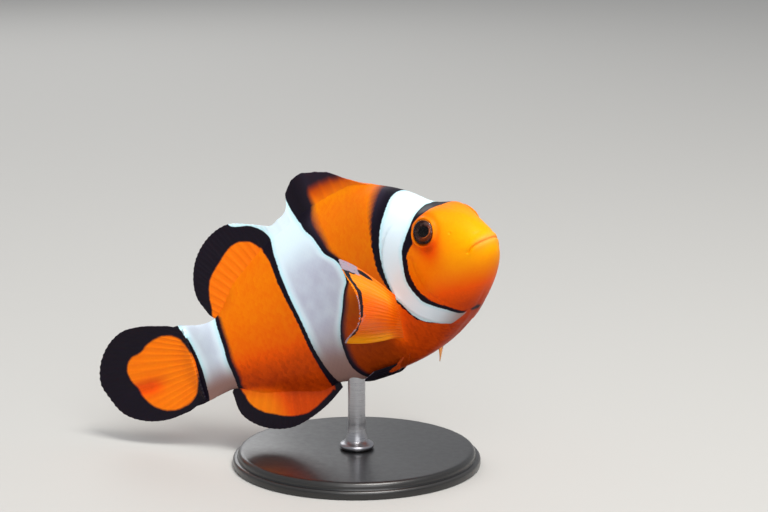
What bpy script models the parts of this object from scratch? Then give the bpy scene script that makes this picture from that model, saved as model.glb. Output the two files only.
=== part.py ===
"""A clownfish as a life-size museum model, swimming on a plain display stand.

The fish is laid out straight first, in shares of its standard length: a station along the body (0 at the
snout, 1 at the root of the tail fin), a distance to its right side and a height above its midline.
place() bends that layout along the curved spine, pitches it nose up and sets it over the stand. The origin
is the middle of the base's underside, +X is the way that the trunk heads and +Z is up.
"""

import math

import bmesh
import bpy
import numpy as np

# Driving sizes, in metres and radians.
BODY_LENGTH = 0.063
NOSE_UP = math.radians(27.5)
FIN_THICKNESS = 0.0006
GAP = 0.0003

# The stand: a round base, and a rod that enters a pocket in the belly.
BASE_RADIUS = 0.020
BASE_THICKNESS = 0.0025
BASE_EDGE = 0.0006
ROD_RADIUS = 0.0014
ROD_STATION = 0.59
POCKET_DEPTH = 0.0045
SOCKET_DEPTH = 0.0015
PIVOT_HEIGHT = 0.0305

# Stations where the body is parted, and the one that the spine is measured from.
PIVOT = 0.4
HEAD_END = 0.285
TRUNK_END = 0.8
SLIT = GAP / BODY_LENGTH

# The body's outline: heights of the back, the belly and the widest level, and the half width.
BACK = [(0, -0.020), (0.02, 0.018), (0.06, 0.066), (0.12, 0.105), (0.20, 0.150), (0.25, 0.190),
        (0.30, 0.219), (0.42, 0.226), (0.55, 0.216), (0.68, 0.181), (0.80, 0.127), (0.86, 0.096),
        (0.92, 0.084), (1.0, 0.102)]
BELLY = [(0, -0.020), (0.02, -0.063), (0.06, -0.099), (0.12, -0.136), (0.20, -0.176), (0.30, -0.206),
         (0.42, -0.218), (0.55, -0.209), (0.68, -0.173), (0.80, -0.128), (0.90, -0.102), (1.0, -0.114)]
FLANK = [(0, 0.0), (0.02, 0.0355), (0.06, 0.060), (0.12, 0.0825), (0.20, 0.098), (0.28, 0.103),
         (0.40, 0.097), (0.55, 0.079), (0.68, 0.059), (0.80, 0.040), (0.90, 0.026), (1.0, 0.013)]
WIDEST = [(0, -0.020), (0.06, -0.012), (0.20, -0.009), (0.30, 0.0), (0.45, 0.015), (0.60, 0.020),
          (0.80, 0.010), (1.0, 0.0)]
# How sharply a section narrows to the back and to the belly: 1 is an ellipse, and more is sharper.
PEAK = [(0, 1.0), (0.05, 1.25), (0.12, 1.15), (0.20, 1.0), (0.40, 1.05), (0.70, 1.12), (1.0, 1.1)]
KEEL = [(0, 0.92), (0.15, 0.88), (0.30, 0.95), (0.70, 0.95), (1.0, 0.95)]
# The swelling over each eye: its station, side and height, their spreads, and how far it stands out.
BROW_AT = (0.112, 0.060, 0.090)
BROW_SPREAD = (0.052, 0.044, 0.050)
BROW_OUT = 0.24
BROW_UP = 0.022

# The spine's bend, in degrees: towards the right side, and upwards.
TURN = [(0, 20.0), (0.2, 12.5), (0.4, 0.0), (0.6, -12.6), (0.8, -18.6), (1.0, -16.7), (1.3, -14.0)]
RISE = [(0, -2.1), (0.2, -1.2), (0.4, 0.0), (0.6, 0.0), (0.8, -0.9), (1.0, -5.5), (1.3, -9.3)]

# The eyes: station and height of the middle, radius, half thickness and how deep the middle lies.
EYE_STATION = 0.142
EYE_HEIGHT = 0.064
EYE_RADIUS = 0.035
EYE_HALF_DEPTH = 0.024
EYE_SUNK = 0.0095

# The jaw and the gill covers, as outlines of station and height on the side of the head.
JAW = [(-0.06, -0.008), (0.010, -0.012), (0.030, -0.016), (0.042, -0.027), (0.060, -0.070),
       (0.105, -0.24), (-0.06, -0.24)]
GILL_MIDDLE = (0.250, -0.020)
GILL_RADII = (0.058, 0.112)
GILL_INNER = 0.062

# Fins in the fish's middle plane: the stations of the root, and points along the free edge.
DORSAL_FRONT = [(0.300, 0.227), (0.345, 0.2465), (0.403, 0.286), (0.435, 0.311), (0.475, 0.329),
                (0.530, 0.341), (0.570, 0.315), (0.590, 0.272), (0.640, 0.252)]
DORSAL_REAR = [(0.652, 0.252), (0.700, 0.277), (0.765, 0.302), (0.830, 0.289), (0.892, 0.240),
               (0.921, 0.155), (0.905, 0.102)]
ANAL = [(0.632, -0.203), (0.680, -0.2255), (0.742, -0.2435), (0.800, -0.2485), (0.862, -0.2255),
        (0.910, -0.170), (0.913, -0.108)]
TAIL = [(1.033, 0.110), (1.115, 0.129), (1.165, 0.129), (1.222, 0.102), (1.262, 0.052), (1.271, 0.012),
        (1.252, -0.037), (1.228, -0.076), (1.166, -0.1145), (1.105, -0.1265), (1.040, -0.121)]
DORSAL_FRONT_ROOT = (0.300, 0.636)
DORSAL_REAR_ROOT = (0.646, 0.885)
ANAL_ROOT = (0.635, 0.900)
TAIL_ROOT = (0.090, -0.106)

# Paired fins: the root's two ends as station and height, then for shares of the way down the root the
# reach, the arch upwards, and in degrees the swing from straight back towards straight out and the lift.
PECTORAL_ROOT = [(0.308, -0.058), (0.368, -0.144)]
PECTORAL_REACH = [(0, 0.203), (0.25, 0.219), (0.5, 0.224), (0.75, 0.213), (1, 0.176)]
PECTORAL_ARCH = [(0, 0.055), (0.20, 0.020), (0.40, 0.0), (0.80, 0.0), (1, -0.030)]
RIGHT_SWING = [(0, 100.1), (0.25, 117.0), (0.5, 119.8), (0.75, 109.8), (1, 78.4)]
RIGHT_LIFT = [(0, 42.4), (0.25, 22.6), (0.5, 13.0), (0.75, 7.7), (1, 9.9)]
LEFT_SWING = [(0, 44.7), (0.25, 54.4), (0.5, 60.8), (0.75, 56.8), (1, 49.4)]
LEFT_LIFT = [(0, 17.0), (0.25, 6.5), (0.5, -4.6), (0.75, -17.3), (1, -32.1)]
PELVIC_ROOT = [(0.380, 0.040), (0.420, 0.014)]
PELVIC_REACH = [(0, 0.125), (0.5, 0.152), (1, 0.115)]
PELVIC_SPREAD = [(0, 6), (0.5, 3), (1, 0)]
PELVIC_DROP = [(0, -5), (0.5, -4), (1, -4)]

COLOURS = {
    "orange": (0.85, 0.17, 0.01),
    "deep orange": (0.70, 0.10, 0.01),
    "fin orange": (0.80, 0.14, 0.01),
    "eye": (0.05, 0.02, 0.01),
    "black lacquer": (0.012, 0.012, 0.013),
    "steel": (0.55, 0.55, 0.56),
}


def hermite(points, x):
    """A smooth curve through the points, read at x: cubics that share the mean slope at each point."""
    px, py = np.array(points, float).T
    slope = np.gradient(py, px)
    x = np.clip(x, px[0], px[-1])
    i = np.clip(np.searchsorted(px, x, side="right") - 1, 0, len(px) - 2)
    width = px[i + 1] - px[i]
    t = (x - px[i]) / width
    return ((1 + 2 * t) * (1 - t) ** 2 * py[i] + t * (1 - t) ** 2 * width * slope[i]
            + t * t * (3 - 2 * t) * py[i + 1] + t * t * (t - 1) * width * slope[i + 1])


def rounded(points, s):
    """The same curve drawn over the root of the station, so that it leaves the snout round."""
    return hermite([(a ** 0.5, b) for a, b in points], np.sqrt(s))


def through(points, share):
    """Points of a smooth line through a list of points, at shares of the way along it."""
    path = np.array(points, float)
    step = np.linalg.norm(np.diff(path, axis=0), axis=1)
    at = np.concatenate([[0], np.cumsum(step)]) / step.sum()
    return [hermite(list(zip(at, path[:, axis])), share) for axis in range(path.shape[1])]


def spine():
    """Stations down the bent spine, with its place and its directions ahead, right and up at each."""
    stations = np.linspace(-0.2, 1.4, 321)
    turn = np.radians(hermite(TURN, stations))
    rise = np.radians(hermite(RISE, stations))
    ahead = np.stack([np.cos(turn) * np.cos(rise), -np.sin(turn) * np.cos(rise), np.sin(rise)], 1)
    step = (ahead[1:] + ahead[:-1]) / 2 * np.diff(stations)[:, None]
    run = np.vstack([np.zeros(3), np.cumsum(step, axis=0)])
    pivot = np.array([np.interp(PIVOT, stations, run[:, axis]) for axis in range(3)])
    right = np.stack([-np.sin(turn), -np.cos(turn), np.zeros_like(turn)], 1)
    return stations, pivot - run, ahead, right, np.cross(right, ahead)


SPINE = spine()


def bend(s, side, height):
    """Points of the bent and pitched fish in metres, measured from the spine at the pivot station."""
    s, side, height = np.broadcast_arrays(s, side, height)
    middle, _, right, up = [
        np.stack([np.interp(s, SPINE[0], table[:, axis]) for axis in range(3)], -1) for table in SPINE[1:]]
    point = (middle + side[..., None] * right + height[..., None] * up) * BODY_LENGTH
    x = point[..., 0] * math.cos(NOSE_UP) - point[..., 2] * math.sin(NOSE_UP)
    z = point[..., 0] * math.sin(NOSE_UP) + point[..., 2] * math.cos(NOSE_UP)
    return np.stack([x, point[..., 1], z], -1)


ROD_MEETS = bend(ROD_STATION, 0.0, rounded(BELLY, ROD_STATION))
PIVOT_AT = np.array([-ROD_MEETS[0], -ROD_MEETS[1], PIVOT_HEIGHT])


def place(s, side, height):
    """Points of the fish in metres over the stand, with the rod standing on the origin."""
    return bend(s, side, height) + PIVOT_AT


def section(s, turn):
    """Side and height of the body's surface at a station, round from the back (0) over the right side."""
    back, belly, half, level = [rounded(table, s) for table in (BACK, BELLY, FLANK, WIDEST)]
    upper = np.cos(turn) > 0
    tall = np.where(upper, back - level, level - belly)
    power = rounded(PEAK, s) * upper + rounded(KEEL, s) * ~upper
    side = half * np.sign(np.sin(turn)) * np.abs(np.sin(turn)) ** power
    height = level + tall * np.cos(turn)
    offsets = ((s - BROW_AT[0]), (np.abs(side) - BROW_AT[1]), (height - BROW_AT[2]))
    brow = np.exp(-sum((offset / spread) ** 2 for offset, spread in zip(offsets, BROW_SPREAD)))
    return side * (1 + BROW_OUT * brow), height + BROW_UP * brow


def surface_side(s, height):
    """How far to the side the body's surface lies at a station and height."""
    turns = np.linspace(0, math.pi, 181)
    side, level = section(np.full_like(turns, s), turns)
    return np.interp(-height, -level, side)


def surface_low(s, side):
    """The height of the body's underside at a station and side."""
    turns = np.linspace(math.pi / 2, math.pi, 91)
    level, height = section(np.full_like(turns, s), turns)
    return np.interp(-side, -level, height)


def collection(name):
    """A new collection in the scene."""
    made = bpy.data.collections.new(name)
    bpy.context.scene.collection.children.link(made)
    return made


def material(name, colour, roughness, metallic=0.0):
    """A Principled material of one colour."""
    made = bpy.data.materials.new(name)
    made.use_nodes = True
    shader = made.node_tree.nodes["Principled BSDF"]
    shader.inputs["Base Color"].default_value = (*COLOURS[colour], 1.0)
    shader.inputs["Roughness"].default_value = roughness
    shader.inputs["Metallic"].default_value = metallic
    return made


def add_object(name, points, faces, group, finish=None):
    """An object from points in world metres and faces, smooth where the surface bends gently."""
    mesh = bpy.data.meshes.new(name)
    mesh.from_pydata([tuple(p) for p in np.reshape(points, (-1, 3))], [], faces)
    mesh.validate()
    mesh.shade_smooth()
    mesh.set_sharp_from_angle(angle=math.radians(40))
    made = bpy.data.objects.new(name, mesh)
    group.objects.link(made)
    if finish:
        mesh.materials.append(finish)
    return made


def grid_faces(rows, columns, closed):
    """Quads over a grid of points stored row after row; a closed grid joins its last column to its first."""
    faces = []
    for row in range(rows - 1):
        for column in range(columns if closed else columns - 1):
            after = (column + 1) % columns
            faces.append((row * columns + column, row * columns + after,
                          (row + 1) * columns + after, (row + 1) * columns + column))
    return faces


def loft(name, stations, around, group, finish, pole=False):
    """A length of the body: sections at the stations, closed by flat ends, or by a pole at the snout."""
    turns = np.linspace(0, 2 * math.pi, around, endpoint=False)
    grid_s, grid_t = np.meshgrid(stations, turns, indexing="ij")
    side, height = section(grid_s, grid_t)
    points = place(grid_s, side, height).reshape(-1, 3)
    rows = len(stations)
    faces = grid_faces(rows, around, closed=True)
    first_middle = len(points)
    front = place(0.0, 0.0, BACK[0][1]) if pole else place(stations[0], 0.0, float(height[0].mean()))
    rear = place(stations[-1], 0.0, float(height[-1].mean()))
    points = np.vstack([points, front, rear])
    last = (rows - 1) * around
    for column in range(around):
        after = (column + 1) % around
        faces.append((first_middle, after, column))
        faces.append((first_middle + 1, last + column, last + after))
    made = add_object(name, points, faces, group, finish)
    face_out(made)
    return made


def face_out(made):
    """Turns a closed mesh's faces outwards."""
    shape = bmesh.new()
    shape.from_mesh(made.data)
    bmesh.ops.recalc_face_normals(shape, faces=shape.faces)
    shape.to_mesh(made.data)
    shape.free()


def prism(name, outline, inner, outer, group):
    """A bent block on the side of the head: an outline of stations and heights between two sides."""
    outline = np.array(outline, float)
    count = len(outline)
    sides = [np.full(count, value) for value in (inner, outer)]
    points = np.vstack([place(outline[:, 0], side, outline[:, 1]) for side in sides])
    faces = [tuple(range(count)), tuple(reversed(range(count, 2 * count)))]
    faces += grid_faces(2, count, closed=True)
    made = add_object(name, points, faces, group)
    face_out(made)
    hide_cutter(made)
    return made


def hide_cutter(cutter):
    """Marks an object as a cutter."""
    cutter.hide_render = True
    cutter.display_type = "WIRE"


def boolean(target, cutter, operation):
    """Adds an exact Boolean with the cutter to the target."""
    cut = target.modifiers.new(cutter.name, "BOOLEAN")
    cut.operation = operation
    cut.solver = "EXACT"
    cut.object = cutter


def copy_of(source, name, group):
    """A copy of an object with its own mesh and the same modifiers."""
    made = source.copy()
    made.data = source.data.copy()
    made.name = name
    made.data.name = name
    group.objects.link(made)
    return made


def grown(outline, by):
    """An outline of stations and heights moved outwards by a distance."""
    path = np.array(outline, float)
    middle = path.mean(axis=0)
    along = np.roll(path, -1, axis=0) - np.roll(path, 1, axis=0)
    normal = np.stack([along[:, 1], -along[:, 0]], 1)
    normal /= np.linalg.norm(normal, axis=1)[:, None]
    outwards = np.sign(((path - middle) * normal).sum(axis=1).sum())
    return path + normal * outwards * by


def eye_frame(hand):
    """The middle of an eye and its axes: forward, up and out, for the right (1) or left (-1) side."""
    step = 0.004
    side = surface_side(EYE_STATION, EYE_HEIGHT)
    at = place(EYE_STATION, hand * side, EYE_HEIGHT)
    before = place(EYE_STATION - step, hand * surface_side(EYE_STATION - step, EYE_HEIGHT), EYE_HEIGHT)
    above = place(EYE_STATION, hand * surface_side(EYE_STATION, EYE_HEIGHT + step), EYE_HEIGHT + step)
    forward = (before - at) / np.linalg.norm(before - at)
    out = np.cross(forward, above - at) * hand
    out /= np.linalg.norm(out)
    up = np.cross(out, forward)
    return at - out * EYE_SUNK * BODY_LENGTH, forward, up, out


def ball(name, hand, extra, segments, group, finish=None):
    """An eye's flattened ball, larger all round by extra metres."""
    middle, forward, up, out = eye_frame(hand)
    radius = EYE_RADIUS * BODY_LENGTH + extra
    depth = EYE_HALF_DEPTH * BODY_LENGTH + extra
    shape = bmesh.new()
    bmesh.ops.create_uvsphere(shape, u_segments=segments, v_segments=segments // 2, radius=1.0)
    for vertex in shape.verts:
        x, y, z = vertex.co
        vertex.co = middle + radius * (x * forward + y * up) + depth * z * out
    bmesh.ops.recalc_face_normals(shape, faces=shape.faces)
    mesh = bpy.data.meshes.new(name)
    shape.to_mesh(mesh)
    shape.free()
    mesh.shade_smooth()
    made = bpy.data.objects.new(name, mesh)
    group.objects.link(made)
    if finish:
        mesh.materials.append(finish)
    return made


def build_body(group, cutters, skin, cheek):
    """Head, jaw, gill covers, trunk and tail stalk, parted by slits."""
    nose = 0.5 - 0.5 * np.cos(np.linspace(0.16, math.pi / 2, 12))
    head = loft("head", HEAD_END * nose / nose[-1], 32, group, skin, pole=True)
    turns = np.linspace(0, 2 * math.pi, 28, endpoint=False)
    gill = np.stack([GILL_MIDDLE[0] + GILL_RADII[0] * np.cos(turns),
                     GILL_MIDDLE[1] + GILL_RADII[1] * np.sin(turns)], 1)
    jaw = copy_of(head, "jaw_lower", group)
    boolean(jaw, prism("cut_jaw", JAW, -0.2, 0.2, cutters), "INTERSECT")
    boolean(head, prism("cut_round_jaw", grown(JAW, SLIT), -0.21, 0.21, cutters), "DIFFERENCE")
    for hand, side in ((1, "right"), (-1, "left")):
        cover = copy_of(head, "gill_cover_" + side, group)
        cover.modifiers.clear()
        cover.data.materials[0] = cheek
        boolean(cover, prism("cut_gill_" + side, gill, hand * GILL_INNER, hand * 0.2, cutters), "INTERSECT")
        around = prism("cut_round_gill_" + side, grown(gill, SLIT), hand * (GILL_INNER - SLIT), hand * 0.21,
                       cutters)
        boolean(head, around, "DIFFERENCE")
    trunk = loft("trunk", np.linspace(HEAD_END + SLIT, TRUNK_END, 20), 32, group, skin)
    stalk = loft("tail_stalk", np.linspace(TRUNK_END + SLIT, 1.0, 9), 32, group, skin)
    return head, trunk, stalk


def build_eyes(group, cutters, head, finish):
    """Each eye, and the socket that it sits in."""
    for hand, side in ((1, "right"), (-1, "left")):
        ball("eye_" + side, hand, 0.0, 20, group, finish)
        socket = ball("cut_socket_" + side, hand, GAP, 20, cutters)
        hide_cutter(socket)
        boolean(head, socket, "DIFFERENCE")


def fin(name, points, group, finish):
    """A fin: a grid of points, rays down the columns, given its thickness by Solidify."""
    rows, columns = points.shape[:2]
    made = add_object(name, points, grid_faces(rows, columns, closed=False), group, finish)
    thick = made.modifiers.new("thickness", "SOLIDIFY")
    thick.thickness = FIN_THICKNESS
    thick.offset = 0.0
    thick.use_even_offset = True
    return made


def build_median_fins(group, finish):
    """The two dorsal fins, the anal fin and the tail fin, flat in the fish's middle plane."""
    across = np.linspace(0, 1, 5)[:, None]
    clear = SLIT + 0.002
    for name, edge, root, outline, sign in (
            ("dorsal_fin_front", DORSAL_FRONT, DORSAL_FRONT_ROOT, BACK, 1),
            ("dorsal_fin_rear", DORSAL_REAR, DORSAL_REAR_ROOT, BACK, 1),
            ("anal_fin", ANAL, ANAL_ROOT, BELLY, -1)):
        share = np.linspace(0, 1, 19)
        edge_s, edge_z = through(edge, share)
        root_s = root[0] + (root[1] - root[0]) * share
        root_z = rounded(outline, root_s) + sign * clear
        fin(name, place(root_s + (edge_s - root_s) * across, 0.0, root_z + (edge_z - root_z) * across),
            group, finish)
    share = np.linspace(0, 1, 23)
    edge_s, edge_z = through(TAIL, share)
    root_z = TAIL_ROOT[0] + (TAIL_ROOT[1] - TAIL_ROOT[0]) * share
    root_s = 1.0 + SLIT
    fin("tail_fin", place(root_s + (edge_s - root_s) * across, 0.0, root_z + (edge_z - root_z) * across),
        group, finish)


def build_pectorals(group, finish):
    """The two rowing fins: rays that fan out from a slanted root on the side, cupped a little forward."""
    share = np.linspace(0, 1, 13)
    along = np.linspace(0, 1, 6)[:, None]
    (top_s, top_z), (low_s, low_z) = PECTORAL_ROOT
    root_s = top_s + (low_s - top_s) * share
    root_z = top_z + (low_z - top_z) * share
    root_side = np.array([surface_side(s, z) for s, z in zip(root_s, root_z)]) + 2 * SLIT
    arch = hermite(PECTORAL_ARCH, share) * along * (1 - along)
    for hand, side, swings, lifts in ((1, "right", RIGHT_SWING, RIGHT_LIFT),
                                      (-1, "left", LEFT_SWING, LEFT_LIFT)):
        reach = hermite(PECTORAL_REACH, share) * along
        swing = np.radians(hermite(swings, share))
        lift = np.radians(hermite(lifts, share))
        back = reach * np.cos(swing) * np.cos(lift)
        out = reach * np.sin(swing) * np.cos(lift)
        points = place(root_s + back, hand * (root_side + out), root_z + reach * np.sin(lift) + arch)
        fin("pectoral_fin_" + side, points, group, finish)


def build_pelvics(group, finish):
    """The two fins under the breast, folded back along the belly."""
    share = np.linspace(0, 1, 9)
    along = np.linspace(0, 1, 6)[:, None]
    (front_s, front_side), (rear_s, rear_side) = PELVIC_ROOT
    root_s = front_s + (rear_s - front_s) * share
    root_side = front_side + (rear_side - front_side) * share
    root_z = np.array([surface_low(s, side) for s, side in zip(root_s, root_side)]) - 2.2 * SLIT
    reach = hermite(PELVIC_REACH, share) * along
    spread = np.radians(hermite(PELVIC_SPREAD, share))
    drop = np.radians(hermite(PELVIC_DROP, share))
    for hand, side in ((1, "right"), (-1, "left")):
        points = place(root_s + reach * np.cos(spread) * np.cos(drop),
                       hand * (root_side + reach * np.sin(spread)), root_z - reach * np.sin(drop))
        fin("pelvic_fin_" + side, points, group, finish)


def cylinder(name, radius, low, high, sides, group, finish=None):
    """An upright cylinder on the origin's axis between two heights."""
    shape = bmesh.new()
    bmesh.ops.create_cone(shape, cap_ends=True, segments=sides, radius1=radius, radius2=radius,
                          depth=high - low)
    bmesh.ops.translate(shape, verts=shape.verts, vec=(0, 0, (low + high) / 2))
    mesh = bpy.data.meshes.new(name)
    shape.to_mesh(mesh)
    shape.free()
    mesh.shade_smooth()
    mesh.set_sharp_from_angle(angle=math.radians(40))
    made = bpy.data.objects.new(name, mesh)
    group.objects.link(made)
    if finish:
        mesh.materials.append(finish)
    return made


def build_stand(group, cutters, trunk, lacquer, steel):
    """A round base with a socket, and a rod from there into a pocket in the belly."""
    base = cylinder("stand_base", BASE_RADIUS, 0.0, BASE_THICKNESS, 64, group, lacquer)
    edge = base.modifiers.new("edge", "BEVEL")
    edge.width = BASE_EDGE
    edge.segments = 2
    edge.limit_method = "ANGLE"
    belly = PIVOT_HEIGHT + ROD_MEETS[2]
    foot = BASE_THICKNESS - SOCKET_DEPTH
    socket = cylinder("cut_rod_socket", ROD_RADIUS + GAP, foot, BASE_THICKNESS * 2, 24, cutters)
    pocket = cylinder("cut_rod_pocket", ROD_RADIUS + GAP, belly - 2 * POCKET_DEPTH, belly + POCKET_DEPTH, 24,
                      cutters)
    for target, cutter in ((base, socket), (trunk, pocket)):
        hide_cutter(cutter)
        boolean(target, cutter, "DIFFERENCE")
    cylinder("stand_rod", ROD_RADIUS, foot + GAP, belly + POCKET_DEPTH - GAP, 24, group, steel)


def main():
    """Clears the scene and builds the fish and its stand."""
    for old in list(bpy.data.objects):
        bpy.data.objects.remove(old)
    parts = collection("clownfish")
    cutters = collection("cutters")
    skin = material("fish_skin", "orange", 0.4)
    cheek = material("gill_cover_skin", "deep orange", 0.4)
    fins = material("fin_skin", "fin orange", 0.45)
    eyes = material("eye", "eye", 0.1)
    lacquer = material("base_lacquer", "black lacquer", 0.45)
    steel = material("rod_steel", "steel", 0.3, metallic=1.0)
    head, trunk, _ = build_body(parts, cutters, skin, cheek)
    build_eyes(parts, cutters, head, eyes)
    build_median_fins(parts, fins)
    build_pectorals(parts, fins)
    build_pelvics(parts, fins)
    build_stand(parts, cutters, trunk, lacquer, steel)


main()
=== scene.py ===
"""The looks of a life-size clownfish model on its display stand: skin, scales, fins, eyes and stand.

The fish is laid out straight first, in shares of its standard length: a station along the body (0 at the
snout, 1 at the root of the tail fin), a distance to its right side and a height above its midline. place()
bends that layout along the curved spine, pitches it nose up and sets it over the stand. Round a section,
the turn is 0 on the back, 90 degrees on the right side and 180 on the belly.
"""

import math

import bpy
import numpy as np
from mathutils import Matrix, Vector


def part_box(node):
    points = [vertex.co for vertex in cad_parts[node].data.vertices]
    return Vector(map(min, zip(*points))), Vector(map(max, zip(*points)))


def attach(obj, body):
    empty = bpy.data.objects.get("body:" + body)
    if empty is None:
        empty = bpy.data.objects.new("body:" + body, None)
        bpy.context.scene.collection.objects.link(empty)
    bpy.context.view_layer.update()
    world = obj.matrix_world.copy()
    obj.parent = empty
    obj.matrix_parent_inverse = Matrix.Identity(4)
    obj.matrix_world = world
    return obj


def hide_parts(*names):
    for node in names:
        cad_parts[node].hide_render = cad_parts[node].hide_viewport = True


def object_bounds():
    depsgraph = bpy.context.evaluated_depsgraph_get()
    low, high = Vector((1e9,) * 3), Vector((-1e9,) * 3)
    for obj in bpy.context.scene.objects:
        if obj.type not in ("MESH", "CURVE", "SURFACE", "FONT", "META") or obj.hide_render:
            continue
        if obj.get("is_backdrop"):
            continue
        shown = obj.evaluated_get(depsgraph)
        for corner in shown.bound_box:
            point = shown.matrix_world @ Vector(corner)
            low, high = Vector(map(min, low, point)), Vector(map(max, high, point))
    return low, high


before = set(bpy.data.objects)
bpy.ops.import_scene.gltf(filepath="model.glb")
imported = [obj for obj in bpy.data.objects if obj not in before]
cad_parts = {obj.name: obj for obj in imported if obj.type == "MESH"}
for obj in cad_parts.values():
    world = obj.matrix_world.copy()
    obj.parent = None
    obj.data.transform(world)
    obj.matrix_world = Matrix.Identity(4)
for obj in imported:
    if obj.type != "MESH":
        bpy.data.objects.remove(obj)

bl_info = {
    "name": "Clownfish Model",
    "version": (1, 0, 0),
    "blender": (4, 5, 0),
    "location": "View3D > Sidebar > Clownfish",
    "description": "Skin, scales, fins, eyes and display stand of a life-size clownfish model",
    "category": "Object",
}

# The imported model's sizes, in metres and radians, or in shares of the standard length.
LENGTH = 0.063
NOSE_UP = math.radians(27.5)
PIVOT = 0.4
PIVOT_HEIGHT = 0.0305
ROD_STATION = 0.59
ROD_RADIUS = 0.0014
BACK = [(0, -0.02), (0.02, 0.018), (0.06, 0.066), (0.12, 0.105), (0.2, 0.15), (0.25, 0.19), (0.3, 0.219),
    (0.42, 0.226), (0.55, 0.216), (0.68, 0.181), (0.8, 0.127), (0.86, 0.096), (0.92, 0.084), (1, 0.102)]
BELLY = [(0, -0.02), (0.02, -0.063), (0.06, -0.099), (0.12, -0.136), (0.2, -0.176), (0.3, -0.206),
    (0.42, -0.218), (0.55, -0.209), (0.68, -0.173), (0.8, -0.128), (0.9, -0.102), (1, -0.114)]
FLANK = [(0, 0), (0.02, 0.0355), (0.06, 0.06), (0.12, 0.0825), (0.2, 0.098), (0.28, 0.103), (0.4, 0.097),
    (0.55, 0.079), (0.68, 0.059), (0.8, 0.04), (0.9, 0.026), (1, 0.013)]
WIDEST = [(0, -0.02), (0.06, -0.012), (0.2, -0.009), (0.3, 0), (0.45, 0.015), (0.6, 0.02), (0.8, 0.01),
    (1, 0)]
PEAK = [(0, 1), (0.05, 1.25), (0.12, 1.15), (0.2, 1), (0.4, 1.05), (0.7, 1.12), (1, 1.1)]
KEEL = [(0, 0.92), (0.15, 0.88), (0.3, 0.95), (0.7, 0.95), (1, 0.95)]
BROW_AT = (0.112, 0.06, 0.09)
BROW_SPREAD = (0.052, 0.044, 0.05)
BROW_OUT = 0.24
BROW_UP = 0.022
TURN = [(0, 20), (0.2, 12.5), (0.4, 0), (0.6, -12.6), (0.8, -18.6), (1, -16.7), (1.3, -14)]
RISE = [(0, -2.1), (0.2, -1.2), (0.4, 0), (0.6, 0), (0.8, -0.9), (1, -5.5), (1.3, -9.3)]
EYE_STATION = 0.1372
EYE_HEIGHT = 0.063
EYE_RADIUS = 0.035
EYE_HALF_DEPTH = 0.024
EYE_SUNK = 0.012
GAZE = (0.2, 0.0)
DORSAL_FRONT = [(0.3, 0.219), (0.345, 0.2465), (0.403, 0.286), (0.435, 0.311), (0.475, 0.329), (0.53, 0.341),
    (0.57, 0.315), (0.59, 0.272), (0.64, 0.252)]
DORSAL_REAR = [(0.652, 0.252), (0.7, 0.277), (0.765, 0.302), (0.83, 0.289), (0.892, 0.24), (0.921, 0.155),
    (0.905, 0.102)]
ANAL = [(0.632, -0.203), (0.68, -0.2255), (0.742, -0.2435), (0.8, -0.2485), (0.862, -0.2255), (0.91, -0.17),
    (0.913, -0.108)]
TAIL = [(1.033, 0.11), (1.115, 0.129), (1.165, 0.129), (1.222, 0.102), (1.262, 0.052), (1.271, 0.012),
    (1.252, -0.037), (1.228, -0.076), (1.166, -0.1145), (1.105, -0.1265), (1.04, -0.121)]
DORSAL_FRONT_ROOT = (0.3, 0.636)
DORSAL_REAR_ROOT = (0.646, 0.885)
ANAL_ROOT = (0.635, 0.9)
TAIL_ROOT = (0.09, -0.106)
TAIL_START = 0.985
PECTORAL_ROOT = [(0.308, -0.058), (0.368, -0.144)]
PECTORAL_REACH = [(0, 0.203), (0.25, 0.219), (0.5, 0.224), (0.75, 0.213), (1, 0.176)]
PECTORAL_ARCH = [(0, 0.055), (0.2, 0.02), (0.4, 0), (0.8, 0), (1, -0.03)]
RIGHT_SWING = [(0, 100.1), (0.25, 117), (0.5, 119.8), (0.75, 109.8), (1, 78.4)]
RIGHT_LIFT = [(0, 42.4), (0.25, 22.6), (0.5, 13), (0.75, 7.7), (1, 9.9)]
LEFT_SWING = [(0, 44.7), (0.25, 54.4), (0.5, 60.8), (0.75, 56.8), (1, 49.4)]
LEFT_LIFT = [(0, 17), (0.25, 6.5), (0.5, -4.6), (0.75, -17.3), (1, -32.1)]
PECTORAL_SUNK = 0.006
GAP = 0.0003 / LENGTH
PELVIC_ROOT = [(0.38, 0.04), (0.42, 0.014)]
PELVIC_REACH = [(0, 0.125), (0.5, 0.152), (1, 0.115)]
PELVIC_SPREAD = [(0, 6), (0.5, 3), (1, 0)]
PELVIC_DROP = [(0, -5), (0.5, -4), (1, -4)]

# Fins: how many spines and rays each has, and the points across each ray.
DORSAL_SPINES = 11
DORSAL_RAYS = 15
ANAL_RAYS = 14
TAIL_RAYS = 18
PECTORAL_RAYS = 17
PELVIC_RAYS = 6
ACROSS_RAY = 10

# Scales: their first and last stations, the stations where a new piece starts, how far apart they stand by
# the station, the station they start at by the turn, and half a scale's patch on the map.
SCALES_FROM = 0.15
SCALES_TO = 0.968
SCALE_PARTS = (0.3, 0.46, 0.62)
MAP_PATCH = 0.0015
SCALE_PITCH = [(0.15, 0.0075), (0.24, 0.009), (0.34, 0.0135), (0.6, 0.015), (0.8, 0.0125), (0.95, 0.009),
    (1.04, 0.006)]
SCALE_START = [(0, 0.215), (40, 0.205), (70, 0.2), (90, 0.185), (120, 0.165), (150, 0.185), (180, 0.23)]

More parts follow.
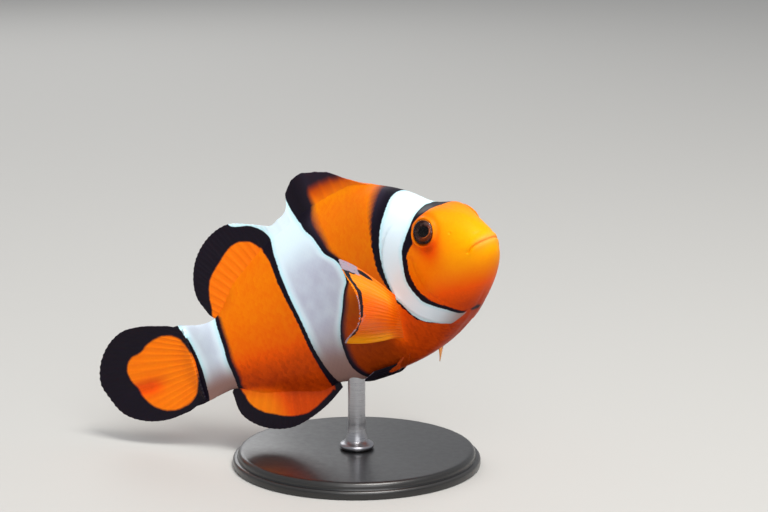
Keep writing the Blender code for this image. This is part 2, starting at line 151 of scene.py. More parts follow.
# Relief of the skin: outlines of station and height, on both sides alike.
WEDGE_START = 0.905
SKIN_END = 1.03
MOUTH = [(0, -0.0105), (0.007, -0.0112), (0.014, -0.0125), (0.027, -0.016), (0.039, -0.024)]
NOSTRIL_AT = (0.07, 0.036)
OPERCLE = [(-0.17, 0.205), (-0.12, 0.262), (-0.06, 0.296), (-0.01, 0.304), (0.04, 0.296), (0.085, 0.268),
    (0.12, 0.23)]
PREOPERCLE = [(-0.135, 0.15), (-0.09, 0.184), (-0.03, 0.2), (0.03, 0.194)]

# Markings of the body, read by the turn in degrees. Edges are stations.
ROUND = {
    # The head band: where the black and the white start, and where the white and the black end.
    "front": [(0, 0.126), (13, 0.126), (25, 0.128), (36, 0.137), (41, 0.156), (46, 0.17), (52, 0.175),
        (60, 0.178), (68, 0.182), (73, 0.197), (78, 0.207), (84, 0.211), (90, 0.217), (96, 0.22),
        (102, 0.219), (111, 0.213), (119, 0.201), (127, 0.188), (137, 0.172), (149, 0.162), (159, 0.157),
        (168, 0.15), (174, 0.144), (180, 0.14)],
    "pale": [(0, 0.161), (10, 0.165), (17, 0.165), (28, 0.167), (39, 0.172), (47, 0.179), (57, 0.193),
        (65, 0.206), (72, 0.217), (85, 0.23), (98, 0.24), (105, 0.237), (111, 0.231), (119, 0.222),
        (127, 0.203), (136, 0.185), (147, 0.174), (161, 0.164), (170, 0.153), (180, 0.146)],
    "end": [(0, 0.246), (20, 0.249), (40, 0.258), (60, 0.281), (80, 0.303), (98, 0.308), (113, 0.294),
        (125, 0.279), (135, 0.256), (143, 0.234), (152, 0.215), (158, 0.2), (162, 0.179), (166, 0.162),
        (170, 0.146), (180, 0.135)],
    "rear": [(0, 0.302), (25, 0.298), (50, 0.307), (70, 0.318), (84, 0.324), (98, 0.3165), (115, 0.2975),
        (127, 0.2795), (135, 0.26), (143, 0.236), (152, 0.213), (158, 0.198), (162, 0.172), (166, 0.149),
        (170, 0.146), (174, 0.1535), (180, 0.154)],
    # The middle band: its white's start, the black's width ahead of it, its end and the black's width.
    "mid": [(0, 0.563), (10, 0.557), (20, 0.552), (30, 0.54), (40, 0.523), (50, 0.508), (60, 0.493),
        (70, 0.458), (80, 0.447), (86, 0.452), (90, 0.468), (100, 0.5), (110, 0.532), (120, 0.552),
        (130, 0.561), (145, 0.566), (160, 0.556), (180, 0.54)],
    "mid_wide": [(0, 0.043), (20, 0.044), (40, 0.033), (60, 0.024), (80, 0.013), (100, 0.017), (120, 0.018),
        (150, 0.02), (180, 0.02)],
    "mid_end": [(0, 0.664), (20, 0.66), (40, 0.655), (60, 0.651), (80, 0.646), (100, 0.641), (120, 0.641),
        (140, 0.637), (160, 0.632), (180, 0.63)],
    "mid_rear": [(0, 0.023), (30, 0.019), (60, 0.017), (90, 0.013), (120, 0.013), (150, 0.018),
        (180, 0.027)],
    # The stalk's band: its white's start and end.
    "stalk": [(0, 0.89), (35, 0.887), (65, 0.885), (90, 0.885), (108, 0.889), (125, 0.888), (150, 0.89),
        (180, 0.896)],
    "stalk_end": [(0, 1.003), (26, 0.999), (55, 0.983), (78, 0.974), (104, 0.969), (125, 0.971),
        (160, 0.977), (180, 0.981)],
    # How far the black fades into the orange: behind the head band, ahead of the middle one.
    "fade": [(0, 0.026), (25, 0.022), (45, 0.012), (60, 0.004), (180, 0.003)],
    "mid_fade": [(0, 0.022), (40, 0.018), (65, 0.008), (82, 0.004), (92, 0.011), (125, 0.012), (150, 0.008),
        (180, 0.005)],
    # How yellow the orange is: 0 is deep orange and 1 is yellow. It deepens towards the belly, partly the
    # fish's own tone and partly painted shade.
    "warm": [(0, 0.56), (50, 0.56), (85, 0.5), (112, 0.36), (125, 0.22), (150, 0.12), (180, 0.04)],
    # Painted shade: how much darker the orange is behind the pectoral fins, where their shadow falls on the
    # breast.
    "dusk": [(0, 0), (86, 0), (96, 0.42), (120, 0.46), (150, 0.46), (180, 0.35)],
    # Painted shade on the white towards the belly: on the head, in the middle and on the stalk.
    "head_shade": [(0, 0), (112, 0), (126, 0.18), (140, 0.4), (150, 0.62), (160, 0.8), (180, 0.8)],
    "mid_shade": [(0, 0), (96, 0), (115, 0.4), (135, 0.85), (150, 0.95), (180, 0.95)],
    "stalk_shade": [(0, 0), (95, 0.05), (112, 0.38), (130, 0.75), (150, 1), (180, 1)],
}
# The width of the stalk's black, of a crisp edge, and of the eye with its rim.
STALK_FRONT_WIDTH = 0.017
CRISP = 0.0018
ORBIT = 0.0388
# How yellow the snout is, by the height, deepening downwards partly by its own tone and partly by painted
# shade; and the tail fin with its root.
SNOUT_WARMTH = [(-0.18, 0), (-0.14, 0.12), (-0.11, 0.36), (-0.08, 0.62), (-0.05, 0.84), (-0.02, 0.96),
    (0.02, 0.94), (0.06, 0.88), (0.085, 0.84), (0.11, 0.7), (0.135, 0.54), (0.16, 0.5)]
TAIL_WARMTH = 0.58
# The red patch under the eye: its station, height, spreads and depth.
BLUSH = (0.13, 0.016, 0.03, 0.034, 0.42)

# Markings of the median fins: outlines of station and height.
DORSAL_ORANGE_FRONT = [(0.2, 0), (0.2, 0.4), (0.36, 0.33), (0.383, 0.296), (0.4, 0.285), (0.424, 0.288),
    (0.447, 0.293), (0.471, 0.295), (0.49, 0.296), (0.503, 0.293), (0.511, 0.284), (0.512, 0.268),
    (0.511, 0.25), (0.515, 0.23), (0.522, 0.205), (0.531, 0.18), (0.54, 0)]
DORSAL_WHITE = [(0.555, 0.1), (0.555, 0.19), (0.562, 0.215), (0.573, 0.25), (0.578, 0.29), (0.58, 0.4),
    (0.7, 0.4), (0.76, 0.305), (0.7, 0.272), (0.668, 0.24), (0.66, 0.2), (0.664, 0.1)]
DORSAL_ORANGE_REAR = [(0.69, 0.05), (0.693, 0.19), (0.7, 0.212), (0.72, 0.235), (0.755, 0.247),
    (0.79, 0.237), (0.83, 0.212), (0.86, 0.19), (0.879, 0.16), (0.888, 0.12), (0.887, 0.05)]
ANAL_ORANGE = [(0.655, -0.05), (0.652, -0.188), (0.66, -0.199), (0.679, -0.207), (0.708, -0.2185),
    (0.731, -0.2255), (0.752, -0.228), (0.795, -0.2185), (0.833, -0.197), (0.859, -0.179), (0.877, -0.154),
    (0.883, -0.127), (0.883, -0.05)]
TAIL_ORANGE = [(1.053, 0.087), (1.083, 0.084), (1.106, 0.076), (1.13, 0.062), (1.158, 0.056), (1.174, 0.043),
    (1.182, 0.022), (1.178, 0), (1.168, -0.022), (1.158, -0.046), (1.142, -0.07), (1.12, -0.091),
    (1.094, -0.103), (1.066, -0.107), (1.036, -0.102), (1.008, -0.084), (0.991, -0.056), (0.984, -0.022),
    (0.985, 0.016), (0.997, 0.05), (1.02, 0.077)]

# The pectoral fin's black line: distances from the free edge to its outer and inner sides, as shares of the
# ray, by the share of the way down the fin.
PECTORAL_LINE_OUTER = [(0, 0), (0.1, 0), (0.18, 0.005), (0.25, 0.03), (0.3, 0.045), (0.36, 0.022),
    (0.45, 0.012), (0.8, 0.012), (0.87, 0.018), (1, 0.03)]
PECTORAL_LINE_INNER = [(0, 0), (0.06, 0.02), (0.1, 0.085), (0.18, 0.09), (0.25, 0.115), (0.3, 0.135),
    (0.36, 0.11), (0.45, 0.085), (0.55, 0.07), (0.63, 0.045), (0.7, 0.032), (0.8, 0.065), (0.87, 0.045),
    (0.92, 0), (1, 0)]
# The black streaks near its top: the middles by the share down and along, and the half widths in both.
PECTORAL_STREAKS = [(0.05, 0.58, 0.028, 0.16), (0.09, 0.84, 0.024, 0.09), (0.03, 0.9, 0.012, 0.05),
    (0.055, 0.97, 0.014, 0.03), (0.066, 0.74, 0.01, 0.07), (0.104, 0.93, 0.013, 0.05),
    (0.02, 0.76, 0.006, 0.05)]

# The camera: its lens and sensor in millimetres, bearing, elevation, distance and offsets.
LENS = 111.85
SENSOR = 36.0
BEARING = math.radians(33.9)
ELEVATION = math.radians(12.0)
DISTANCE = 6.0 * LENGTH
OFFSET_RIGHT = 0.0036 * LENGTH
OFFSET_UP = -0.0622 * LENGTH

FLESH = ("head", "jaw_lower", "gill_cover_right", "gill_cover_left", "trunk", "tail_stalk")


# ---- Curves and places ----

def hermite(points, x):
    """A smooth curve through the points, read at x: cubics that share the mean slope at each point."""
    px, py = np.array(points, float).T
    slope = np.gradient(py, px)
    x = np.clip(x, px[0], px[-1])
    i = np.clip(np.searchsorted(px, x, side="right") - 1, 0, len(px) - 2)
    width = px[i + 1] - px[i]
    t = (x - px[i]) / width
    return ((1 + 2 * t) * (1 - t) ** 2 * py[i] + t * (1 - t) ** 2 * width * slope[i]
            + t * t * (3 - 2 * t) * py[i + 1] + t * t * (t - 1) * width * slope[i + 1])


def rounded(points, s):
    """The same curve drawn over the root of the station, so that it leaves the snout round."""
    return hermite([(a ** 0.5, b) for a, b in points], np.sqrt(s))


def through(points, share):
    """Points of a smooth line through a list of points, at shares of the way along it."""
    path = np.array(points, float)
    step = np.linalg.norm(np.diff(path, axis=0), axis=1)
    at = np.concatenate([[0], np.cumsum(step)]) / step.sum()
    return [hermite(list(zip(at, path[:, axis])), share) for axis in range(path.shape[1])]


def ease(x, low, high):
    """0 below low, 1 above high, and the smooth cubic 3t^2 - 2t^3 between them."""
    t = np.clip((x - low) / (high - low), 0, 1)
    return t * t * (3 - 2 * t)


def hump(x, spread):
    """A bell: e to the power of minus the square of x over its spread."""
    return np.exp(-(x / spread) ** 2)


def unit(vectors):
    """Vectors scaled to length 1."""
    return vectors / np.maximum(np.linalg.norm(vectors, axis=-1, keepdims=True), 1e-12)


def spine():
    """Stations down the bent spine, with its place and its directions right and up at each."""
    stations = np.linspace(-0.2, 1.4, 321)
    turn = np.radians(hermite(TURN, stations))
    rise = np.radians(hermite(RISE, stations))
    ahead = np.stack([np.cos(turn) * np.cos(rise), -np.sin(turn) * np.cos(rise), np.sin(rise)], 1)
    step = (ahead[1:] + ahead[:-1]) / 2 * np.diff(stations)[:, None]
    run = np.vstack([np.zeros(3), np.cumsum(step, axis=0)])
    pivot = np.array([np.interp(PIVOT, stations, run[:, axis]) for axis in range(3)])
    right = np.stack([-np.sin(turn), -np.cos(turn), np.zeros_like(turn)], 1)
    return stations, pivot - run, right, np.cross(right, ahead)


SPINE = spine()


def bend(s, side, height):
    """Points of the bent and pitched fish in metres, measured from the spine at the pivot station."""
    s, side, height = np.broadcast_arrays(s, side, height)
    middle, right, up = [
        np.stack([np.interp(s, SPINE[0], table[:, axis]) for axis in range(3)], -1) for table in SPINE[1:]]
    point = (middle + side[..., None] * right + height[..., None] * up) * LENGTH
    x = point[..., 0] * math.cos(NOSE_UP) - point[..., 2] * math.sin(NOSE_UP)
    z = point[..., 0] * math.sin(NOSE_UP) + point[..., 2] * math.cos(NOSE_UP)
    return np.stack([x, point[..., 1], z], -1)


ROD_MEETS = bend(ROD_STATION, 0.0, rounded(BELLY, ROD_STATION))
PIVOT_AT = np.array([-ROD_MEETS[0], -ROD_MEETS[1], PIVOT_HEIGHT])


def place(s, side, height):
    """Points of the fish in metres over the stand, with the rod standing on the origin."""
    return bend(s, side, height) + PIVOT_AT


def section(s, turn):
    """Side and height of the body's surface at a station, round from the back (0) over the right side.

    An ellipse whose side is raised to a power that narrows it to the back and the belly, swollen over each
    eye, drawn up into the median fins by a crest that falls off as e to the minus of the side, and thinned
    to a wedge past the root of the tail fin."""
    back, belly, half, level = [rounded(table, s) for table in (BACK, BELLY, FLANK, WIDEST)]
    upper = np.cos(turn) > 0
    tall = np.where(upper, back - level, level - belly)
    power = rounded(PEAK, s) * upper + rounded(KEEL, s) * ~upper
    side = half * np.sign(np.sin(turn)) * np.abs(np.sin(turn)) ** power
    height = level + tall * np.cos(turn)
    offsets = ((s - BROW_AT[0]), (np.abs(side) - BROW_AT[1]), (height - BROW_AT[2]))
    brow = np.exp(-sum((offset / spread) ** 2 for offset, spread in zip(offsets, BROW_SPREAD)))
    wedge = 1 - 0.97 * ease(s, WEDGE_START, SKIN_END)
    crest = 0.032 * upper * ease(s, 0.28, 0.4) * ease(-s, -0.9, -0.8)
    crest = crest - 0.024 * ~upper * ease(s, 0.62, 0.7) * ease(-s, -0.91, -0.83)
    height = height + BROW_UP * brow + crest * np.exp((0.002 - np.hypot(side, 0.002)) / 0.013)
    return side * (1 + BROW_OUT * brow) * wedge, height


def surface_side(s, height):
    """How far to the side the body's surface lies at a station and height."""
    turns = np.linspace(0, math.pi, 181)
    side, level = section(np.full_like(turns, s), turns)
    return np.interp(-height, -level, side)


def surface_low(s, side):
    """The height of the body's underside at a station and side."""
    turns = np.linspace(math.pi / 2, math.pi, 91)
    level, height = section(np.full_like(turns, s), turns)
    return np.interp(-side, -level, height)


EYE_AT = (EYE_STATION, float(surface_side(EYE_STATION, EYE_HEIGHT)), EYE_HEIGHT)
NOSTRIL = (NOSTRIL_AT[0], float(surface_side(*NOSTRIL_AT)), NOSTRIL_AT[1])


def apart(s, side, height, at):
    """The distance to a place, given as station, side and height, on the point's own side of the fish."""
    return np.sqrt((s - at[0]) ** 2 + (np.abs(side) - at[1]) ** 2 + (height - at[2]) ** 2)


def from_pectoral(s, height):
    """The distance of stations and heights to the line of the pectoral fin's root."""
    (top_s, top_z), (low_s, low_z) = PECTORAL_ROOT
    run, drop = low_s - top_s, low_z - top_z
    share = np.clip(((s - top_s) * run + (height - top_z) * drop) / (run ** 2 + drop ** 2), 0, 1)
    return np.hypot(s - top_s - share * run, height - top_z - share * drop)


def relief(s, side, height):
    """How far the skin stands out from the plain section, in shares of the length.

    A sum of soft humps and steps: the mouth's groove between two lips, the nostril's pit and rim, the
    socket and rim of the eye, the step at the gill cover's edge, the groove in front of it, the pad at the
    pectoral fin's root and folds under the throat."""
    width = np.abs(side)
    line = hermite(MOUTH, s)
    past = ease(-s, -0.052, -0.034)
    gap = height - line
    crossed = np.hypot(gap, np.maximum(s - MOUTH[-1][0], 0))
    out = -0.0042 * hump(crossed, 0.0023)
    out = out + past * (0.0017 * hump(gap - 0.0085, 0.006) + 0.0013 * hump(gap + 0.0085, 0.006))
    out = out - 0.0008 * hump(gap - 0.024, 0.006) * ease(-s, -0.075, -0.03) * ease(s, 0.001, 0.02)
    out = out - 0.0006 * hump(gap + 0.023, 0.006) * ease(-s, -0.06, -0.02)

    nostril = apart(s, side, height, NOSTRIL)
    out = out - 0.0024 * hump(nostril, 0.0026) + 0.0005 * hump(nostril - 0.0055, 0.0022)

    eye = apart(s, side, height, EYE_AT)
    rim = 0.006 - 0.003 * ease(height - EYE_HEIGHT, 0.0, 0.03)
    out = out - 0.017 * ease(-eye, -0.0328, -0.0295) + rim * hump(eye - 0.0352, 0.0034)
    out = out - 0.001 * hump(eye - 0.046, 0.0045)

    ahead = hermite(OPERCLE, height) - s
    reach = ease(height, -0.185, -0.15) * ease(-height, -0.125, -0.095)
    out = out + 0.0036 * reach * ease(ahead, -0.004, 0.004) * np.exp(-np.maximum(ahead, 0) / 0.045)
    out = out - 0.001 * reach * hump(ahead + 0.005, 0.006)
    edge = hermite(PREOPERCLE, height) - s
    groove = ease(height, -0.14, -0.12) * ease(-height, -0.03, -0.01)
    out = out - 0.0006 * groove * hump(edge, 0.0035) + 0.0006 * groove * hump(edge - 0.018, 0.015)

    out = out + 0.0075 * hump(from_pectoral(s, height), 0.014)

    under = ease(-height, 0.1, 0.14) * ease(s, 0.12, 0.16) * ease(-s, -0.27, -0.2)
    out = out + 0.0002 * under * np.cos(width * 420)
    out = out - 0.001 * hump(width, 0.0065) * ease(s, 0.06, 0.12) * ease(-s, -0.3, -0.22) * (height < 0)
    return out


def surface(s, turn):
    """Points on the skin in metres, with the outward normals of the plain section there.

    The normal is the cross product of the steps along the body and round it."""
    def plain(at, round_it):
        return place(at, *section(at, round_it))
    ahead, round_by = 0.0012, 0.012
    behind = np.minimum(s * 0.5, ahead)
    along = plain(s + ahead, turn) - plain(s - behind, turn)
    across = plain(s, turn + round_by) - plain(s, turn - round_by)
    normal = unit(np.cross(along, across))
    side, height = section(s, turn)
    point = place(s, side, height)
    return point + normal * (relief(s, side, height) * LENGTH)[..., None], normal, side, height


# ---- Markings ----

def within(outline, s, z):
    """How far inside a closed outline of stations and heights points lie, below 0 outside it.

    The least distance to any of its sides, with the sign of an odd count of crossings."""
    a = np.array(outline, float)
    b = np.roll(a, -1, axis=0)
    p = np.stack([s, z], -1)[..., None, :]
    share = np.clip(((p - a) * (b - a)).sum(-1) / ((b - a) ** 2).sum(-1), 0, 1)
    gap = np.linalg.norm(p - a - share[..., None] * (b - a), axis=-1).min(-1)
    level = p[..., 1]
    crosses = (a[:, 1] > level) != (b[:, 1] > level)
    rise = np.where(a[:, 1] == b[:, 1], 1, b[:, 1] - a[:, 1])
    at = a[:, 0] + (level - a[:, 1]) / rise * (b[:, 0] - a[:, 0])
    odd = ((crosses & (p[..., 0] < at)).sum(-1) % 2).astype(bool)
    return np.where(odd, gap, -gap)


def rounded_off(outline):
    """A closed outline drawn smooth, eight points to each of its own."""
    count = len(outline)
    index = np.arange(-3, count + 4)
    fine = np.arange(count * 8) / 8
    looped = np.array(outline, float)[index % count]
    return np.stack([hermite(list(zip(index, looped[:, axis])), fine) for axis in range(2)], -1)


def tail_orange(s, z):
    """How far inside the tail fin's orange points lie; far ahead of it a plain -1."""
    found = np.full(s.shape, -1.0)
    near = s > 0.93
    found[near] = within(rounded_off(TAIL_ORANGE), s[near], z[near])
    return found


def fin_markings(s, z, orange, white=None):
    """The fields of body_markings on a median fin, black where no outline of orange or white reaches."""
    inside = np.maximum.reduce([within(rounded_off(outline), s, z) for outline in orange])
    pale = within(rounded_off(white), s, z) if white else -1.0
    return {"white": pale, "black": -inside, "fade": CRISP * 1.6, "clean": 1.0}


def dorsal_markings(s, z):
    """The fields on the dorsal fins: the front one's orange turns redder with painted shade towards its top,
    and is painted lighter at its root to match the lit back.
    """
    fields = fin_markings(s, z, (DORSAL_ORANGE_FRONT, DORSAL_ORANGE_REAR), DORSAL_WHITE)
    front = ease(-s, -0.6, -0.5)
    fields["fade"] = fields["fade"] + 0.011 * ease(-s, -0.56, -0.5)
    fields["warm"] = 0.56 + front * (0.1 - 0.34 * ease(z, 0.245, 0.3))
    fields["dusk"] = 0.55 * front * ease(z, 0.25, 0.305)
    return fields


def anal_markings(s, z):
    """The fields on the anal fin: deep orange of painted shade at the root, lighter further down, and a
    painted lit patch that turns yellow at the rear.
    """
    fields = fin_markings(s, z, (ANAL_ORANGE,))
    down = rounded(BELLY, s) - z
    fields["warm"] = (0.1 + 0.12 * ease(down, 0.01, 0.045)
                      + 0.4 * ease(s, 0.76, 0.84) * ease(down, -0.004, 0.016))
    return fields


def body_markings(s, turn, side, height):
    """White, black and fade of the bands, warmth of the orange, how bright the white stays, and painted shade
    on the white and on the breast, for the body.

    Each band is the lesser of the distances past its front edge and short of its rear edge."""
    degrees = np.degrees(np.abs((turn + math.pi) % (2 * math.pi) - math.pi))
    read = {name: hermite(table, degrees) for name, table in ROUND.items()}
    head = np.minimum(s - read["pale"], read["end"] - s)
    middle = np.minimum(s - read["mid"], read["mid_end"] - s)
    stalk = np.minimum(s - read["stalk"], read["stalk_end"] - s)
    white = np.maximum(np.maximum(head, middle), stalk)
    eye = apart(s, side, height, EYE_AT)
    black = np.maximum.reduce([
        np.minimum(s - read["front"], read["rear"] - s),
        np.minimum(s - read["mid"] + read["mid_wide"], read["mid_end"] + read["mid_rear"] - s),
        np.minimum(s - read["stalk"] + STALK_FRONT_WIDTH, -tail_orange(s, height))])
    black = np.where(s < 0.25, np.minimum(black, eye - ORBIT), black)
    fade = CRISP + read["fade"] * hump(s - read["rear"], 0.03) + read["mid_fade"] * hump(
        s - read["mid"] + read["mid_wide"], 0.03) + 0.007 * hump(s - read["stalk"] + STALK_FRONT_WIDTH, 0.02)
    fade = np.maximum(fade, CRISP)
    # Warmth deepens towards the belly and down the snout, partly the fish's own tone and partly painted
    # shade.
    snout = hump(s, 0.15)
    warm = read["warm"] * (1 - snout) + hermite(SNOUT_WARMTH, height) * snout
    warm = warm - BLUSH[4] * hump(s - BLUSH[0], BLUSH[2]) * hump(height - BLUSH[1], BLUSH[3])
    warm = warm - 0.12 * hump(eye - 0.044, 0.01) * (s < 0.25)
    warm = np.where(s > 0.96, TAIL_WARMTH, warm)
    # How bright the white stays: it dulls to lavender grey on the band's sides, partly its own pearly tone
    # and partly painted shade.
    clean = np.where(s < 0.4, 1.0, 1 - 0.85 * ease(degrees, 30, 75) * ease(middle, 0.006, 0.03))
    clean = np.where(s > 0.8, 1 - 0.55 * ease(stalk, 0.006, 0.03), clean)
    shade = np.where(s < 0.4, read["head_shade"], np.where(s < 0.8, read["mid_shade"], read["stalk_shade"]))
    flesh = hump(from_pectoral(s, height), 0.022)
    warm = warm + (0.42 - warm) * flesh
    # Painted shade of the pectoral fins' shadow on the breast.
    dusk = read["dusk"] * ease(s, 0.34, 0.44) * ease(-s, -0.6, -0.57) * (1 - flesh)
    fields = {"white": white, "black": black, "fade": fade, "warm": warm, "clean": clean, "shade": shade,
              "dusk": dusk}
    for marks, near in ((dorsal_markings, (height > 0.08) & (s > 0.34) & (s < 0.9)),
                        (anal_markings, (height < -0.08) & (s > 0.67) & (s < 0.9))):
        near = near & (np.abs(side) < 0.05)
        share = hump(side[near], 0.016) * ease(s[near], 0.34, 0.38) * ease(-s[near], -0.888, -0.862)
        share = share * ease(np.abs(height[near]), 0.08, 0.1)
        for field, values in marks(s[near], height[near]).items():
            fields[field][near] += (values - fields[field][near]) * share
    return fields


# ---- Meshes ----

def grid_faces(rows, columns, closed):
    """Quads over a grid of points stored row after row; a closed grid joins its last column to its first."""
    row, column = np.meshgrid(np.arange(rows - 1), np.arange(columns if closed else columns - 1),
                              indexing="ij")
    after = (column + 1) % columns
    return np.stack([row * columns + column, row * columns + after,
                     (row + 1) * columns + after, (row + 1) * columns + column], -1).reshape(-1, 4)


def fan(ring, middle):
    """Triangles between each step of a closed ring of points and one middle point."""
    return np.stack([ring, np.roll(ring, -1), np.full_like(ring, middle)], -1).tolist()


def shown(name, data):
    """An object of the scene that holds the data."""
    made = bpy.data.objects.new(name, data)
    bpy.context.scene.collection.objects.link(made)
    return made


def new_piece(name, points, faces, fields, finish, crease=None):
    """An object in the root body from points, lists of faces and fields, with its finish and smooth faces.

    Edges that fold by more than the crease, in degrees, stay sharp."""
    mesh = bpy.data.meshes.new(name)
    mesh.from_pydata(np.reshape(points, (-1, 3)), [], faces)
    mesh.shade_smooth()
    if crease:
        mesh.set_sharp_from_angle(angle=math.radians(crease))
    for field, values in fields.items():
        layer = mesh.attributes.new(field, "FLOAT", "POINT")
        layer.data.foreach_set("value", np.ascontiguousarray(np.ravel(values), np.float32))
    mesh.materials.append(finish)
    piece = shown(name, mesh)
    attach(piece, "root")
    return piece


def add_map(piece, across, along):
    """Gives a piece the map that its colours are kept on, from a place for each corner of its faces."""
    layer = piece.data.uv_layers.new(name="OFBake")
    layer.data.foreach_set("uv", np.stack([across, along], -1).astype(np.float32).ravel())


def web(points, thickness, outward):
    """A closed sheet round a grid of points: the grid moved half the thickness to each side and sewn round.

    The sides' shift is along the cross product of the grid's own steps, turned to the outward hand."""
    rows, columns = points.shape[:2]
    down = np.gradient(points, axis=0)
    across = np.gradient(points, axis=1)
    normal = unit(np.cross(down, across)) * outward
    shift = normal * (thickness / 2)[..., None]
    count = rows * columns
    both = np.concatenate([(points + shift).reshape(-1, 3), (points - shift).reshape(-1, 3)])
    front = grid_faces(rows, columns, closed=False)
    if outward > 0:
        front = front[:, ::-1]
    index = np.arange(count).reshape(rows, columns)
    rim = np.concatenate([index[0, :-1], index[:-1, -1], index[-1, :0:-1], index[:0:-1, 0]])
    after = np.roll(rim, -1)
    sewn = np.stack([rim, after, after + count, rim + count], -1)
    if outward < 0:
        sewn = sewn[:, ::-1]
    return both, np.concatenate([front, front[:, ::-1] + count, sewn])


# ---- Finishes ----

def rgb(red, green, blue):
    """A screen colour, each part of 255, as linear light."""
    share = np.array([red, green, blue]) / 255
    return tuple(np.where(share <= 0.04045, share / 12.92, ((share + 0.055) / 1.055) ** 2.4))


class Finish:
    """A node material in the making: each method adds a node and returns its output socket."""

    def __init__(self, name):
        self.made = bpy.data.materials.new(name)
        self.made.use_nodes = True
        self.tree = self.made.node_tree
        self.shader = self.tree.nodes["Principled BSDF"]
        self.place = None

    def feed(self, socket, value):
        if isinstance(value, bpy.types.NodeSocket):
            self.tree.links.new(value, socket)
        else:
            socket.default_value = (*value, 1.0) if socket.type == "RGBA" else value

    def add(self, kind, **inputs):
        """The node itself, with its inputs fed by name."""
        made = self.tree.nodes.new("ShaderNode" + kind)
        for name, value in inputs.items():
            self.feed(made.inputs[name.replace("_", " ")], value)
        return made

    def field(self, name):
        made = self.add("Attribute")
        made.attribute_name = name
        return made.outputs["Fac"]

    def noise(self, scale, detail=2.0, roughness=0.5, stretch=None):
        if self.place is None:
            self.place = self.add("TexCoord").outputs["Object"]
        at = self.place
        if stretch:
            at = self.add("Mapping", Vector=at, Scale=stretch).outputs["Vector"]
        return self.add("TexNoise", Vector=at, Scale=scale, Detail=detail, Roughness=roughness).outputs["Fac"]

    def sum(self, operation, a, b=0.0, c=0.0):
        made = self.add("Math")
        made.operation = operation
        for socket, value in zip(made.inputs, (a, b, c)):
            self.feed(socket, value)
        return made.outputs[0]

    def plus(self, a, b):
        return self.sum("ADD", a, b)

    def times(self, a, b):
        return self.sum("MULTIPLY", a, b)

    def scaled(self, source, by, more):
        """The source times by, plus more."""
        return self.sum("MULTIPLY_ADD", source, by, more)

    def sway(self, source, by):
        """The source less a half, times by."""
        return self.scaled(source, by, -by / 2)

    def step(self, value, low, high):
        made = self.add("MapRange", Value=value, From_Min=low, From_Max=high)
        made.interpolation_type = "SMOOTHSTEP"
        return made.outputs["Result"]

    def mix(self, factor, a, b, kind="MIX"):
        made = self.add("Mix")
        made.data_type = "RGBA"
        made.blend_type = kind
        for socket, value in ((0, factor), (6, a), (7, b)):
            self.feed(made.inputs[socket], value)
        return made.outputs[2]

    def ramp(self, value, stops):
        made = self.add("ValToRGB", Fac=value)
        ramp = made.color_ramp
        while len(ramp.elements) < len(stops):
            ramp.elements.new(0.5)
        for element, (at, colour) in zip(ramp.elements, stops):
            element.position = at
            element.color = (*colour, 1.0)
        return made.outputs["Color"]

    def bump(self, height, distance, strength):
        made = self.add("Bump", Strength=strength, Distance=distance, Height=height)
        self.feed(self.shader.inputs["Normal"], made.outputs["Normal"])

    def set(self, **values):
        for name, value in values.items():
            self.feed(self.shader.inputs[name.replace("_", " ")], value)
        return self.made


def fish_colour(finish, colours):
    """The orange by its warmth, then the black and the white bands over it, with slightly ragged edges."""
    patch = finish.noise(260.0, 3.0)
    grain = finish.noise(2600.0, 2.0)
    ragged = finish.plus(finish.sway(finish.noise(900.0, 2.0), 0.0036), finish.sway(grain, 0.0022))
    warm = finish.plus(finish.field("warm"), finish.sway(patch, 0.1))
    warm = finish.plus(warm, finish.sway(grain, 0.1))
    warm = finish.scaled(finish.field("fleck"), 0.035, warm)
    orange = finish.ramp(warm, [(0.0, colours.deep_orange_shaded), (0.33, colours.red_orange),
                                (0.58, colours.orange), (1.0, colours.yellow)])
    fade = finish.field("fade")
    dark = finish.plus(finish.field("black"), ragged)
    inked = finish.step(dark, finish.times(fade, -1.0), fade)
    bloom = finish.step(fade, 0.004, 0.022)
    black = finish.mix(bloom, colours.black, colours.faded_black)
    # Painted shade: the orange darkens towards a dark brown where the painted shade field is set.
    orange = finish.mix(finish.field("dusk"), orange, colours.dusky_orange)
    orange = finish.mix(finish.times(finish.field("lips"), 0.55), orange, colours.lips)
    paint = finish.mix(inked, orange, black)
    white = finish.field("white")
    tint = finish.step(finish.plus(white, finish.sway(patch, 0.012)), 0.0, 0.016)
    # The white dulls to lavender grey, partly its own pearly tone and partly painted shade.
    clean = finish.mix(tint, colours.edge_white, colours.white)
    dull = finish.mix(finish.step(patch, 0.35, 0.7), colours.lavender, colours.dull_white)
    chalk = finish.mix(finish.field("clean"), dull, clean)
    # Painted shade on the white towards the belly.
    shade = finish.plus(finish.field("shade"), finish.sway(patch, 0.1))
    chalk = finish.mix(finish.step(shade, 0.0, 1.0), chalk, colours.shaded_white)
    banded = finish.step(finish.scaled(ragged, 0.45, white), -0.0012, 0.0012)
    return finish.mix(banded, paint, chalk)


def skin_finish(colours, name, edged):
    """Wet satin skin: soft light under the surface, a thin gloss and fine pores."""
    finish = Finish(name)
    colour = fish_colour(finish, colours)
    if edged:
        rim = finish.times(finish.field("rim"), 0.12)
        colour = finish.mix(rim, colour, colours.scale_edge, "SOFT_LIGHT")
    pores = finish.noise(3200.0, 3.0, 0.6)
    finish.bump(pores, 0.000012, 0.5)
    rough = finish.scaled(finish.noise(420.0, 2.0), 0.16, 0.34)
    return finish.set(Base_Color=colour, Roughness=rough, Specular_IOR_Level=0.06, Subsurface_Weight=0.1,
                      Subsurface_Radius=(1.0, 0.35, 0.12), Subsurface_Scale=0.0007,
                      Coat_Weight=0.02, Coat_Roughness=0.18)


